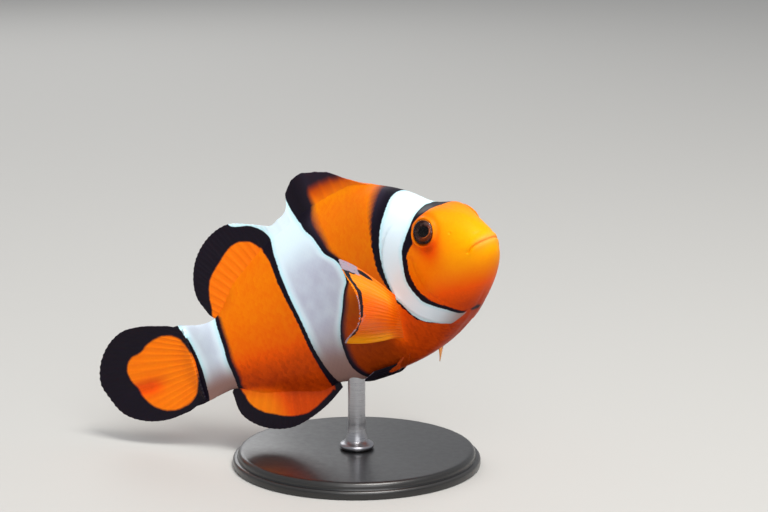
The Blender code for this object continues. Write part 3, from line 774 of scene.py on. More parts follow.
def fin_finish(colours):
    """Fin web: the same colours, darker between the rays, and a pale clear margin."""
    finish = Finish("fin_web")
    colour = fish_colour(finish, colours)
    ray = finish.field("ray")
    between = finish.scaled(ray, -0.11, 0.11)
    between = finish.times(between, finish.step(finish.field("white"), 0.002, -0.002))
    shaded = finish.mix(between, colour, colours.web_shade, "MULTIPLY")
    margin = finish.plus(finish.field("margin"), finish.sway(finish.noise(1500.0, 2.0), 0.35))
    shaded = finish.mix(finish.step(margin, 0.42, 0.62), shaded, colours.clear_margin)
    finish.bump(finish.noise(2600.0, 3.0, 0.6), 0.000015, 0.5)
    rough = finish.scaled(finish.noise(700.0, 2.0), 0.14, 0.36)
    return finish.set(Base_Color=shaded, Roughness=rough, Specular_IOR_Level=0.12, Subsurface_Weight=0.12,
                      Subsurface_Radius=(1.0, 0.4, 0.12), Subsurface_Scale=0.0006,
                      Coat_Weight=0.02, Coat_Roughness=0.25)


def eye_finish(colours):
    """Rings by the radius: a black pupil with a painted highlight on its lower rim, a brown iris, grey above,
    a dark ring.
    """
    finish = Finish("eye")
    cloud = finish.noise(1500.0, 3.0, 0.6)
    radius = finish.plus(finish.field("ring"), finish.sway(cloud, 0.05))
    lower = finish.field("lower")
    iris = finish.mix(finish.step(finish.field("spoke"), 0.1, 0.9), colours.iris_dark, colours.iris)
    grey = finish.mix(finish.step(cloud, 0.4, 0.65), colours.eye_ring, colours.eye_sheen)
    iris = finish.mix(finish.step(lower, 0.3, 0.75), grey, iris)
    # A painted highlight: a bright crescent at the pupil's lower rim.
    painted_rim_highlight = finish.times(finish.step(radius, 0.55, 0.5), finish.step(lower, 0.62, 0.9))
    iris = finish.mix(painted_rim_highlight, iris, colours.iris_rim_highlight)
    iris = finish.mix(finish.step(radius, 0.72, 0.84), iris, colours.eye_ring)
    eye = finish.mix(finish.step(radius, 0.43, 0.46), colours.pupil, iris)
    eye = finish.mix(finish.step(finish.field("lid"), 0.25, 0.75), eye, colours.eye_rim)
    return finish.set(Base_Color=eye, Roughness=0.25, Specular_IOR_Level=0.2)


def cornea_finish():
    """Clear wet glass: light passes straight through, less what the surface mirrors by its slope."""
    finish = Finish("cornea")
    nodes = finish.tree.nodes
    nodes.remove(finish.shader)
    mixed = finish.add("MixShader")
    for socket, part in zip(mixed.inputs, (
            finish.add("Fresnel", IOR=1.33), finish.add("BsdfTransparent"),
            finish.add("BsdfGlossy", Roughness=0.03, Color=(0.24, 0.24, 0.24)))):
        finish.feed(socket, part.outputs[0])
    finish.feed(nodes["Material Output"].inputs["Surface"], mixed.outputs[0])
    return finish.made


def stand_finish(colours):
    """Black satin lacquer on turned metal: faint rings, dust in the sheen and paler rubbed edges."""
    finish = Finish("base_lacquer")
    rings = finish.noise(300.0, 4.0, 0.6, stretch=(0.12, 0.12, 6.0))
    dust = finish.noise(900.0, 4.0, 0.65)
    colour = finish.mix(finish.step(rings, 0.3, 0.8), colours.lacquer, colours.lacquer_pale)
    colour = finish.mix(finish.times(finish.field("worn"), 0.35), colour, colours.lacquer_worn)
    rough = finish.scaled(dust, 0.22, 0.26)
    finish.bump(rings, 0.00002, 0.25)
    return finish.set(Base_Color=colour, Roughness=rough, Specular_IOR_Level=0.5, Coat_Weight=0.35,
                      Coat_Roughness=0.15)


def rod_finish(colours):
    """Brushed steel: fine rings round the rod."""
    finish = Finish("rod_steel")
    brushed = finish.noise(900.0, 4.0, 0.7, stretch=(0.25, 0.25, 7.0))
    colour = finish.mix(brushed, colours.steel_dark, colours.steel)
    rough = finish.scaled(brushed, 0.2, 0.2)
    finish.bump(brushed, 0.000008, 0.4)
    return finish.set(Base_Color=colour, Roughness=rough, Metallic=1.0)


# ---- Pieces ----

def make_skin(sizes, colours):
    """One closed skin over head, trunk and stalk: sections at stations that crowd at the snout.

    The grid is surface() over stations SKIN_END * x^2 and even turns, less the depth of the scales."""
    rows, around = sizes.skin_rows, sizes.skin_columns
    stations = SKIN_END * (np.arange(1, rows + 1) / rows) ** 2
    turns = np.linspace(0, 2 * math.pi, around, endpoint=False)
    s, turn = np.meshgrid(stations, turns, indexing="ij")
    point, normal, side, height = surface(s, turn)
    point = point - normal * (sizes.scale_bed * ease(s, 0.12, 0.3))[..., None]
    tip = point[0].mean(axis=0)
    points = np.vstack([point.reshape(-1, 3), tip])
    faces = grid_faces(rows, around, closed=True)[:, ::-1].tolist() + fan(np.arange(around), rows * around)
    last = (rows - 1) * around
    k = np.arange(around // 2)
    sewn = np.stack([last + (around - k) % around, last + (around - k - 1) % around,
                     last + k + 1, last + k], -1)
    faces += [list(dict.fromkeys(face)) for face in sewn.tolist()]
    fields = body_markings(s, turn, side, height)
    fields["lips"] = ease(-s, -0.03, -0.004) * hump(height - hermite(MOUTH, s), 0.012)
    fields = {name: np.append(values.ravel(), values.ravel()[0]) for name, values in fields.items()}
    piece = new_piece("fish_skin", points, faces, fields, skin_finish(colours, "fish_skin", False))
    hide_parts(*FLESH)
    return piece


def scale_places(sizes):
    """Stations, turns and pitches of the scales: columns down the body, every other one half a row lower.

    Each column is laid out by the length of the arc from the middle of the side, so that rows run along
    the body and end one by one at the back and the belly."""
    fine = np.linspace(0, math.pi, 361)
    s, parity, found = SCALES_FROM, 0, []
    while s < SCALES_TO:
        pitch = float(hermite(SCALE_PITCH, s)) * sizes.scale_size
        side, height = section(np.full_like(fine, s), fine)
        arc = np.concatenate([[0], np.cumsum(np.hypot(np.diff(side), np.diff(height)))])
        middle = np.interp(math.pi / 2, fine, arc)
        rows = np.arange(-60, 60) + parity * 0.5
        at = middle + rows * pitch * 1.12
        at = at[(at > 0.25 * pitch) & (at < arc[-1] - 0.25 * pitch)]
        turn = np.interp(at, arc, fine)
        found.append(np.stack([np.full_like(turn, s), turn, np.full_like(turn, pitch)], -1))
        s += pitch * 0.5
        parity = 1 - parity
    one = np.concatenate(found)
    side, height = section(one[:, 0], one[:, 1])
    degrees = np.degrees(one[:, 1])
    clear = apart(one[:, 0], side, height, EYE_AT) > 0.056
    right = one[clear & (one[:, 0] > hermite(SCALE_START, degrees))]
    left = right * (1, -1, 1)
    return np.concatenate([right, left])


def scale_plate():
    """A scale's points and faces: a disc-shaped 4 by 4 grid on top, its rim again below, and a bottom.

    Columns of the result: along the scale (1 at the free edge), across it, and 1 on the top side. A square
    grid becomes a disc by x * sqrt(1 - y^2 / 2), and the free edge comes to a blunt point."""
    count = 5
    row, column = np.meshgrid(np.linspace(-1, 1, count), np.linspace(-1, 1, count), indexing="ij")
    along = row * np.sqrt(1 - column ** 2 / 2)
    across = column * np.sqrt(1 - row ** 2 / 2)
    along = along + 0.1 * np.maximum(along, 0) * (1 - np.abs(across))
    top = np.stack([along.ravel(), across.ravel(), np.ones(count * count)], -1)
    index = np.arange(count * count).reshape(count, count)
    rim = np.concatenate([index[0, :-1], index[:-1, -1], index[-1, :0:-1], index[:0:-1, 0]])
    under = top[rim] * (1, 1, 0)
    below = count * count + np.arange(len(rim))
    sides = np.stack([rim, np.roll(rim, -1), np.roll(below, -1), below], -1)
    faces = grid_faces(count, count, closed=False)[:, ::-1].tolist() + sides.tolist() + [below.tolist()]
    return np.concatenate([top, under]), faces


def make_scales(sizes, colours):
    """Overlapping plates in rows over the body, each bent to the skin and lifted at its free edge.

    A plate's point is the skin at the plate's root moved along the body and round it, plus the normal
    times a slope from the buried front edge to the free rear edge."""
    plate, plate_faces = scale_plate()
    roots = scale_places(sizes)
    rng = np.random.default_rng(7)
    chance = rng.uniform(-1, 1, (len(roots), 3))
    finish = skin_finish(colours, "fish_scales", True)
    parts = np.digitize(roots[:, 0], SCALE_PARTS)
    pieces = []
    for part, name in enumerate(("scales_head", "scales_shoulder", "scales_flank", "scales_rear")):
        chosen = parts == part
        root, odds = roots[chosen], chance[chosen]
        s0, turn0, pitch = [root[:, i][:, None] for i in range(3)]
        radius = pitch * 0.8 * (1 + 0.05 * odds[:, :1])
        step = 0.01
        before = np.stack(section(s0, turn0 - step), -1)
        beyond = np.stack(section(s0, turn0 + step), -1)
        arc = np.linalg.norm(beyond - before, axis=-1) / (2 * step)
        s = s0 + radius * 1.02 * plate[:, 0]
        turn = turn0 + radius * 0.98 * plate[:, 1] / arc
        point, normal, side, height = surface(np.clip(s, 0.001, SKIN_END), turn)
        slope = sizes.scale_lift / (0.0135 * 0.8) * (1 - 0.8 * ease(s0, 0.9, 0.965))
        crown = 0.18 * sizes.scale_lift * (1 - plate[:, 1] ** 2) * (1 - np.maximum(plate[:, 0], 0) ** 4)
        lift = slope * radius * (plate[:, 0] + 0.35) + crown * pitch / 0.0135
        lift = lift - sizes.scale_bed * 0.35 - sizes.scale_thickness * (plate[:, 2] < 1) * (pitch / 0.0135)
        points = point + normal * lift[..., None]
        own = body_markings(s, turn, side, height)
        root_side, root_height = section(s0, turn0)
        whole = body_markings(s0 + radius * 0.3, turn0, root_side, root_height)
        fields = {}
        for field in own:
            head, body = {"white": (0.8, 0.9), "black": (0.45, 0.85)}.get(field, (1.0, 1.0))
            share = head + (body - head) * ease(s0, 0.36, 0.42)
            fields[field] = own[field] * share + whole[field] * (1 - share)
        fields["fleck"] = np.broadcast_to(odds[:, 1:2], s.shape)
        fields["rim"] = np.broadcast_to(ease(np.hypot(plate[:, 0], plate[:, 1]), 0.72, 1.0)
                                        * ease(plate[:, 0], -0.2, 0.3), s.shape)
        count = len(root)
        hop = (np.arange(count) * len(plate))[:, None]
        quads = np.array(plate_faces[:-1])
        faces = (quads[None] + hop[..., None]).reshape(-1, 4).tolist()
        faces += (np.array(plate_faces[-1])[None] + hop).tolist()
        piece = new_piece(name, points, faces, fields, finish, crease=35)
        sides = np.array([v for face in plate_faces[:-1] for v in face])
        corners = np.concatenate([np.broadcast_to(sides, (count, len(sides))).ravel(),
                                  np.broadcast_to(plate_faces[-1], (count, 16)).ravel()])
        owner = np.concatenate([np.repeat(np.arange(count), len(sides)), np.repeat(np.arange(count), 16)])
        across = root[owner, 0] / 1.1 + plate[corners, 0] * MAP_PATCH + 0.01
        along = (root[owner, 1] / (2 * math.pi)) % 1 * 0.98 + plate[corners, 1] * MAP_PATCH + 0.01
        add_map(piece, across, along)
        pieces.append(piece)
    return pieces


def rays(share, along, count, branch):
    """Height of the fin rays over the web, 0 to 1: a ridge at each ray that splits in two towards the edge.

    The ridge is a bell of the distance to the ray's line, and the lines part by a growing share."""
    place_in = share * count
    offset = place_in - np.floor(place_in) - 0.5
    part = branch * ease(along, 0.3, 0.95)
    split = np.abs(offset) - 0.24 * part
    return hump(split, 0.17 - 0.06 * part)


def fin_grid(root, edge, along):
    """Stations and heights from a root line to an edge line, at shares along the rays."""
    (root_s, root_z), (edge_s, edge_z) = root, edge
    return root_s + (edge_s - root_s) * along, root_z + (edge_z - root_z) * along


def make_web(name, points, along, ridge, fields, finish, outward, sizes, flared=0.0011):
    """A fin from its middle surface: a thin web with rays that stand out on both sides.

    Thickness is a share that falls from root to edge, plus the rays' ridges, plus a flare at the root."""
    web_thick = sizes.fin_thickness * (0.62 - 0.4 * along)
    ray_thick = sizes.fin_thickness * (0.36 - 0.22 * along) * ridge
    both, faces = web(points, web_thick + ray_thick + flared * hump(along, 0.085), outward)
    fields = {"white": -1.0, "clean": 1.0, "margin": 0.5 * along ** 90, "ray": ridge, **fields}
    fields = {field: np.tile(np.broadcast_to(value, ridge.shape).ravel(), 2)
              for field, value in fields.items()}
    return new_piece(name, both, faces.tolist(), fields, finish)


def median_fin(parts, outline, sign, marks, waves):
    """A fin in the middle plane: rays from a root sunk in the body to a smooth free edge, a little waved.

    The sideways wave is a sine across the fin times the square of the share along the ray."""
    along = np.linspace(0, 1, 44)[:, None]
    grids, ridges, shares = [], [], []
    for edge, (root_from, root_to), count, spiny in parts:
        share = np.linspace(0, 1, count * ACROSS_RAY + 1)[None]
        edge_s, edge_z = through(edge, share)
        root_s = root_from + (root_to - root_from) * share
        root_z = rounded(outline, root_s) - sign * 0.01
        ridge = rays(share, along, count, 0.0 if spiny else 1.0)
        notch = (1 - rays(share, np.ones(1), count, 0.0 if spiny else 1.0)) * (0.014 if spiny else 0.007)
        reach = along * (1 - notch * along ** 4)
        grids.append(fin_grid((root_s, root_z), (edge_s, edge_z), reach))
        ridges.append(ridge)
        shares.append(share + len(shares))
    s = np.concatenate([grid[0] for grid in grids], axis=1)
    z = np.concatenate([grid[1] for grid in grids], axis=1)
    ridge = np.concatenate(ridges, axis=1)
    across = np.concatenate(shares, axis=1)
    count, height = waves
    side = height * along ** 2 * np.sin(across / len(parts) * math.pi * count + 0.6)
    return s, along, ridge, place(s, side, z), marks(s, z)


def make_median_fins(sizes, colours, finish):
    """The dorsal, anal and tail fins."""
    s, along, ridge, points, fields = median_fin(
        [(DORSAL_FRONT, DORSAL_FRONT_ROOT, DORSAL_SPINES, True),
         (DORSAL_REAR, DORSAL_REAR_ROOT, DORSAL_RAYS, False)],
        BACK, 1, dorsal_markings, (5, 0.005))
    fields["black"] = fields["black"] - 0.003 * (ridge - 0.5) * ease(-s, -0.6, -0.5)
    piece = make_web("dorsal_fin_web", points, along, ridge, fields, finish, 1, sizes)
    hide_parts("dorsal_fin_front", "dorsal_fin_rear")
    s, along, ridge, points, fields = median_fin(
        [(ANAL, ANAL_ROOT, ANAL_RAYS, False)], BELLY, -1, anal_markings, (2, 0.002))
    piece = make_web("anal_fin_web", points, along, ridge, fields, finish, -1, sizes)
    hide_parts("anal_fin")
    share = np.linspace(0, 1, TAIL_RAYS * ACROSS_RAY + 1)[None]
    along = np.linspace(0, 1, 60)[:, None]
    edge_s, edge_z = through(TAIL, share)
    root_z = (TAIL_ROOT[0] + (TAIL_ROOT[1] - TAIL_ROOT[0]) * share) * 0.97
    ridge = rays(share, along, TAIL_RAYS, 1.0)
    notch = (1 - rays(share, np.ones(1), TAIL_RAYS, 1.0)) * 0.006
    s, z = fin_grid((np.full_like(share, TAIL_START), root_z), (edge_s, edge_z),
                    along * (1 - notch * along ** 4))
    fold = -0.007 * hump(z + 0.03, 0.016) * ease(s, 1.05, 1.13) * ease(-s, -1.22, -1.16)
    side = 0.006 * along ** 2 * np.sin(share * math.pi * 3 + 0.5) + fold
    points = place(s, side, z)
    # Painted shade along the fold of the tail fin.
    crease = hump(z + 0.034, 0.022) * ease(s, 1.07, 1.13)
    tall = np.where(z > 0, rounded(BACK, 1.0), -rounded(BELLY, 1.0))
    turn = np.degrees(np.arccos(np.clip(z / tall, -1, 1)))
    fields = {"white": hermite(ROUND["stalk_end"], turn) - s,
              "black": -within(rounded_off(TAIL_ORANGE), s, z),
              "fade": CRISP * 2, "warm": TAIL_WARMTH - 0.32 * crease}
    piece = make_web("tail_fin_web", points, along, ridge, fields, finish, 1, sizes)
    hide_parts("tail_fin")


def jags(share, count, seed):
    """A step for each ray: a random height that holds over half a ray."""
    steps = np.random.default_rng(seed).uniform(-1, 1, count * 2 + 2)
    return steps[np.clip((share * count * 2).astype(int), 0, count * 2 + 1)]


def make_pectorals(sizes, colours, finish):
    """The rowing fins: rays that fan out from a slanted root on the side, cupped a little forward."""
    count = PECTORAL_RAYS
    share = np.linspace(0, 1, count * ACROSS_RAY + 1)[None]
    along = np.linspace(0, 1, 60)[:, None]
    (top_s, top_z), (low_s, low_z) = PECTORAL_ROOT
    root_s = top_s + (low_s - top_s) * share
    root_z = top_z + (low_z - top_z) * share
    skin = np.array([surface_side(s, z) for s, z in zip(root_s[0], root_z[0])])[None]
    root_side = skin - PECTORAL_SUNK + (PECTORAL_SUNK + 2 * GAP) * along
    arch = hermite(PECTORAL_ARCH, share) * along * (1 - along)
    ridge = rays(share, along, count, 1.0)
    for hand, side, swings, lifts, nodes in (
            (1, "right", RIGHT_SWING, RIGHT_LIFT, "pectoral_fin_right"),
            (-1, "left", LEFT_SWING, LEFT_LIFT, "pectoral_fin_left")):
        notch = (1 - rays(share, np.ones(1), count, 1.0)) * 0.016
        reach = hermite(PECTORAL_REACH, share) * along * (1 - notch * along ** 4)
        swing = np.radians(hermite(swings, share))
        lift = np.radians(hermite(lifts, share))
        back = reach * np.cos(swing) * np.cos(lift)
        out = reach * np.sin(swing) * np.cos(lift)
        points = place(root_s + back, hand * (root_side + out), root_z + reach * np.sin(lift) + arch)
        outer = 1 - hermite(PECTORAL_LINE_OUTER, share) + 0.006 * jags(share, count, 5)
        inner = 1 - hermite(PECTORAL_LINE_INNER, share) + 0.012 * jags(share, count, 3)
        black = np.minimum(along - inner, outer - along) * 0.2
        streak = np.maximum.reduce([0.012 * (1 - ((share - at) / wide) ** 2 - ((along - far) / length) ** 2)
                                    for at, far, wide, length in PECTORAL_STREAKS])
        tip = ease(-share, -0.13, -0.09) * ease(along, 0.58, 0.7)
        open_web = ease(along, 0.04, 0.26)
        rim = ease(along - outer, -0.01, 0.02) * (1 - hump(share - 0.26, 0.11))
        haze = 0.5 * hump(share - 0.62, 0.2) * ease(along, inner - 0.09, inner - 0.04) * ease(
            -along, -inner, 0.01 - inner)
        fields = {"black": np.maximum(black, streak), "fade": 0.0012,
                  # Painted highlights: yellow on the upper and lower parts of the cupped fin; painted shade
                  # near the root.
                  "warm": 0.44 + (0.3 * hump(share - 0.18, 0.17) + 0.4 * hump(share - 0.95, 0.1)) * open_web,
                  "dusk": 0.3 * (1 - open_web) * share,
                  "margin": np.maximum(np.maximum(rim, 0.62 * tip), haze)}
        piece = make_web("pectoral_fin_" + side + "_web", points, along, ridge, fields, finish, hand, sizes,
                         flared=0.0016)
        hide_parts(nodes)


def make_pelvics(sizes, colours, finish):
    """The two fins under the breast, folded back along the belly."""
    count = PELVIC_RAYS
    share = np.linspace(0, 1, count * ACROSS_RAY + 1)[None]
    along = np.linspace(0, 1, 44)[:, None]
    (front_s, front_side), (rear_s, rear_side) = PELVIC_ROOT
    root_s = front_s + (rear_s - front_s) * share
    root_side = front_side + (rear_side - front_side) * share
    root_z = np.array([surface_low(s, side) for s, side in zip(root_s[0], root_side[0])])[None] + 0.012
    ridge = rays(share, along, count, 1.0)
    reach = hermite(PELVIC_REACH, share) * along
    spread = np.radians(hermite(PELVIC_SPREAD, share))
    drop = np.radians(hermite(PELVIC_DROP, share))
    for hand, side in ((1, "right"), (-1, "left")):
        points = place(root_s + reach * np.cos(spread) * np.cos(drop),
                       hand * (root_side + reach * np.sin(spread)),
                       root_z - 0.0235 * ease(along, 0.0, 0.5) - reach * np.sin(drop))
        inner = (0.42 + 0.1 * np.sin(share * 5) - along) * 0.14
        # Deep orange and painted shade: the pelvic fins are painted darker than the body.
        fields = {"black": -inner, "fade": 0.002, "warm": 0.2, "dusk": 0.4}
        piece = make_web("pelvic_fin_" + side + "_web", points, along, ridge, fields, finish, hand, sizes)
        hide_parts("pelvic_fin_" + side)


def eye_frame(hand):
    """The middle of an eye and its axes: forward, up and out, for the right (1) or left (-1) side."""
    step = 0.004
    side = surface_side(EYE_STATION, EYE_HEIGHT)
    at = place(EYE_STATION, hand * side, EYE_HEIGHT)
    before = place(EYE_STATION - step, hand * surface_side(EYE_STATION - step, EYE_HEIGHT), EYE_HEIGHT)
    above = place(EYE_STATION, hand * surface_side(EYE_STATION, EYE_HEIGHT + step), EYE_HEIGHT + step)
    forward = (before - at) / np.linalg.norm(before - at)
    out = np.cross(forward, above - at) * hand
    out /= np.linalg.norm(out)
    up = np.cross(out, forward)
    return at - out * EYE_SUNK * LENGTH, forward, up, out


def ball(name, frame_at, polar, spin, radius, depth, fields, finish):
    """A closed round piece on an eye's axes, from its radius and its depth outwards by the polar angle.

    A point is the middle, plus the radius times the sine of the angle in the eye's plane, plus the depth."""
    middle, forward, up, out = frame_at
    q = spin[None]
    flat = radius * np.sin(polar)[:, None]
    points = middle + LENGTH * ((flat * np.cos(q))[..., None] * forward + (flat * np.sin(q))[..., None] * up
                                + (depth + 0 * q)[..., None] * out)
    rows, around = len(polar) - 2, len(spin)
    count = rows * around
    ring = np.arange(around)
    faces = grid_faces(rows, around, closed=True)[:, ::-1].tolist()
    faces += fan(ring, count) + fan((count - around + ring)[::-1], count + 1)
    points = np.vstack([points[1:-1].reshape(-1, 3), points[0, :1], points[-1, :1]])
    fields = {field: np.append(values[1:-1].ravel(), [values[0, 0], values[-1, 0]])
              for field, values in fields.items()}
    return new_piece(name, points, faces, fields, finish)


def make_eyes(sizes, colours):
    """Eyeballs with a sunken iris round a bulging pupil, each under a clear dome.

    The eyeball's front is the lesser of its own flattened ball and a low cone for the iris, with small
    rings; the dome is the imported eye's flattened ball."""
    polar = math.pi * np.linspace(0, 1, 97)
    spin = np.linspace(0, 2 * math.pi, 128, endpoint=False)
    radius = EYE_RADIUS * 0.975
    p, q = np.meshgrid(polar, spin, indexing="ij")
    facing = p < math.pi / 2
    whole = np.where(facing, np.sin(p), 2 - np.sin(p))
    right, up = np.sin(p) * np.cos(q) - GAZE[0], np.sin(p) * np.sin(q) - GAZE[1]
    seen = np.maximum(np.hypot(right / 1.13, up / 0.88), 0.8 * ease(whole, 0.7, 0.9))
    share = np.where(facing, seen, whole)
    spun = np.arctan2(up, right)
    ball_depth = EYE_HALF_DEPTH * 0.955 * np.cos(p)
    iris = EYE_SUNK + 0.004 - 0.002 * share ** 2 + 0.0014 * ease(-share, -0.45, -0.18)
    iris = iris - 0.0009 * hump(share - 0.455, 0.02) + 0.0005 * hump(share - 0.56, 0.05)
    iris = iris - 0.0008 * hump(share - 0.72, 0.03)
    depth = np.where(facing, np.minimum(ball_depth, iris), ball_depth)
    phase = np.random.default_rng(11).uniform(0, 2 * math.pi, 5)
    spoke = sum(np.sin(spun * n + shift) for n, shift in zip((17, 29, 41, 53, 67), phase)) / 10 + 0.5
    edge = 0.872 + 0.05 * np.cos(q)
    fields = {"ring": share, "spoke": spoke, "lower": 0.5 - 0.5 * np.sin(spun - 0.5),
              "lid": ease(whole, edge - 0.03, edge + 0.03)}
    finish, clear = eye_finish(colours), cornea_finish()
    for hand, side in ((1, "right"), (-1, "left")):
        frame_at = eye_frame(hand)
        piece = ball("eyeball_" + side, frame_at, polar, spin, radius, depth, fields, finish)
        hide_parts("eye_" + side)
        ball("cornea_" + side, frame_at, polar, spin, EYE_RADIUS, EYE_HALF_DEPTH * np.cos(p), {}, clear)


def turned(name, profile, around, fields, finish):
    """A turned piece: a profile of radius and height, carried round the upright axis and closed at both ends.

    A point is the radius times the cosine and sine of the angle, at the height."""
    profile = np.array(profile, float)
    angle = np.linspace(0, 2 * math.pi, around, endpoint=False)
    radius, high = profile[:, :1], profile[:, 1:2]
    points = np.stack([radius * np.cos(angle), radius * np.sin(angle), high + 0 * angle], -1)
    rows = len(profile)
    ends = np.array([[0, 0, profile[0, 1]], [0, 0, profile[-1, 1]]])
    ring = np.arange(around)
    count = rows * around
    values = {field: np.append(np.repeat(value, around), [value[0], value[-1]])
              for field, value in fields.items()}
    faces = grid_faces(rows, around, closed=True).tolist()
    faces += fan(ring[::-1], count) + fan(count - around + ring, count + 1)
    return new_piece(name, np.vstack([points.reshape(-1, 3), ends]), faces, values, finish, crease=35)


def arc(middle, radius, start, end, steps=9):
    """Points of a circle's arc between two angles in degrees, as radius and height."""
    angle = np.radians(np.linspace(start, end, steps))
    return [(middle[0] + radius * math.cos(a), middle[1] + radius * math.sin(a)) for a in angle]


def make_stand(sizes, colours):
    """The round base, turned with a bead and a cove, and the steel rod in its collar."""
    radius, _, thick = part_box("stand_base")[1]
    bead = 0.0005
    profile = [(radius * x, 0.0) for x in (0.25, 0.5, 0.75, 0.9)]
    profile += arc((radius - 0.0003, 0.0003), 0.0003, -90, 0, 5)
    profile += arc((radius - bead, 0.0009), bead, 0, 90, 7)
    profile += [(radius - bead - 0.0002, 0.0014), (radius - bead - 0.0003, 0.00155)]
    profile += arc((radius - bead - 0.0011, thick - 0.0008), 0.0008, 0, 90, 9)
    profile += [(radius * x, thick) for x in (0.9, 0.8, 0.6, 0.4, 0.25)]
    profile += [(0.003, thick)]
    worn = np.zeros(len(profile))
    worn[4:9] = 0.5
    worn[11:14] = 0.8
    worn[18:24] = 0.6
    base = turned("stand_base_turned", profile, 128, {"worn": worn}, stand_finish(colours))
    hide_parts("stand_base")
    low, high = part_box("stand_rod")
    foot = thick
    shape = [(ROD_RADIUS, low[2]), (ROD_RADIUS, foot + 0.0002)]
    shape += arc((0.0023, foot + 0.0005), 0.0005, -90, 90, 7)
    shape += [(0.0018, foot + 0.0015), (0.0019, foot + 0.0012), (0.0017, foot + 0.002),
              (ROD_RADIUS, foot + 0.003)]
    shape += [(ROD_RADIUS, z) for z in np.linspace(foot + 0.004, high[2], 12)]
    rod = turned("stand_rod_turned", shape, 64, {}, rod_finish(colours))
    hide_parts("stand_rod")


# ---- Stage ----

def camera_axes():
    """The camera's directions right, ahead and up."""
    right = np.array([math.cos(BEARING), math.sin(BEARING), 0])
    ahead = np.array([-math.sin(BEARING) * math.cos(ELEVATION), math.cos(BEARING) * math.cos(ELEVATION),
                      -math.sin(ELEVATION)])
    return right, ahead, np.cross(right, ahead)


def standing(at, x, y, z):
    """The matrix of an object at a place with its three axes."""
    return Matrix([(x[i], y[i], z[i], at[i]) for i in range(3)] + [(0, 0, 0, 1)])


def add_light(name, towards, distance, size, power, colour):
    """A square soft light at a distance from the fish in a direction, facing it."""
    data = bpy.data.lights.new(name, "AREA")
    data.size = size
    data.energy = power
    data.color = colour
    light = shown(name, data)
    out = unit(np.array(towards, float))
    side = unit(np.cross((0.0, 0.0, 1.0), out) + (1e-9, 0, 0))
    up = np.cross(out, side)
    light.matrix_world = standing(PIVOT_AT + out * distance, side, up, out)
    return light


def make_stage(sizes, colours):
    """A pale floor, soft lights from above and in front, and the camera."""
    half = 4.0
    mesh = bpy.data.meshes.new("floor")
    corners = [(-half, -half, 0), (half, -half, 0), (half, half, 0), (-half, half, 0)]
    mesh.from_pydata(corners, [], [(0, 1, 2, 3)])
    finish = Finish("floor_paper")
    mesh.materials.append(finish.set(Base_Color=colours.floor, Roughness=0.7, Specular_IOR_Level=0.2))
    floor = shown("floor", mesh)
    floor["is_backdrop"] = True
    world = bpy.data.worlds.new("studio")
    world.use_nodes = True
    world.node_tree.nodes["Background"].inputs["Color"].default_value = (*colours.sky, 1.0)
    world.node_tree.nodes["Background"].inputs["Strength"].default_value = sizes.sky_strength
    bpy.context.scene.world = world
    right, ahead, up = camera_axes()
    white = (1.0, 1.0, 1.0)
    add_light("key", up * 1.0 - ahead * 0.55 + right * 0.25, 0.6, 0.25, sizes.key_power, (1.0, 0.98, 0.94))
    add_light("fill", -ahead * 1.0 + right * 0.15 + up * 0.4, 0.8, 0.6, sizes.fill_power, white)
    add_light("rim", ahead * 0.9 + up * 0.7 - right * 0.3, 0.7, 0.3, sizes.rim_power, white)
    data = bpy.data.cameras.new("camera")
    data.lens = LENS
    data.sensor_width = SENSOR
    data.clip_start = 0.01
    camera = shown("camera", data)
    at = PIVOT_AT - (OFFSET_RIGHT * right + DISTANCE * ahead + OFFSET_UP * up)
    camera.matrix_world = standing(at, right, up, -ahead)
    bpy.context.scene.camera = camera
    bpy.context.scene.view_settings.view_transform = "Standard"
    return floor


# ---- Settings, operators and panel ----

def number_property(name, text, default, low=0.0, **more):
    """A number that is at least low."""
    return bpy.props.FloatProperty(name=name, description=text, default=default, min=low, **more)


def size_property(name, text, default):
    """A length in metres."""
    return number_property(name, text, default, precision=6, unit="LENGTH")


def colour_property(name, text, *screen):
    """A colour given in parts of 255."""
    return bpy.props.FloatVectorProperty(name=name, description=text, default=rgb(*screen), size=3, min=0.0,
                                         max=1.0, subtype="COLOR")


class ClownfishSizes(bpy.types.PropertyGroup):
    """Sizes, counts and light of the model."""
    skin_rows: bpy.props.IntProperty(name="Skin rows", description="Sections along the skin", default=330,
                                     min=40, max=340)
    skin_columns: bpy.props.IntProperty(name="Skin columns", description="Points round each section; even",
                                        default=280, min=40, max=290)
    scale_size: number_property("Scale size", "Pitch of the scales against life", 1.0, 0.7, max=2.0,
                                subtype="FACTOR")
    scale_lift: size_property("Scale lift", "Height of a scale's free edge over its middle", 0.000018)
    scale_bed: size_property("Scale bed", "Depth of the skin under the scales", 0.000045)
    scale_thickness: size_property("Scale thickness", "Thickness of a scale", 0.000022)
    fin_thickness: size_property("Fin thickness", "Thickness that the webs and rays are shares of", 0.00042)
    key_power: number_property("Key", "Power of the light above", 3.5, unit="POWER")
    fill_power: number_property("Fill", "Power of the light in front", 3.15, unit="POWER")
    rim_power: number_property("Rim", "Power of the light behind", 0.7, unit="POWER")
    sky_strength: number_property("Sky", "Strength of the even light all round", 0.46, subtype="FACTOR")


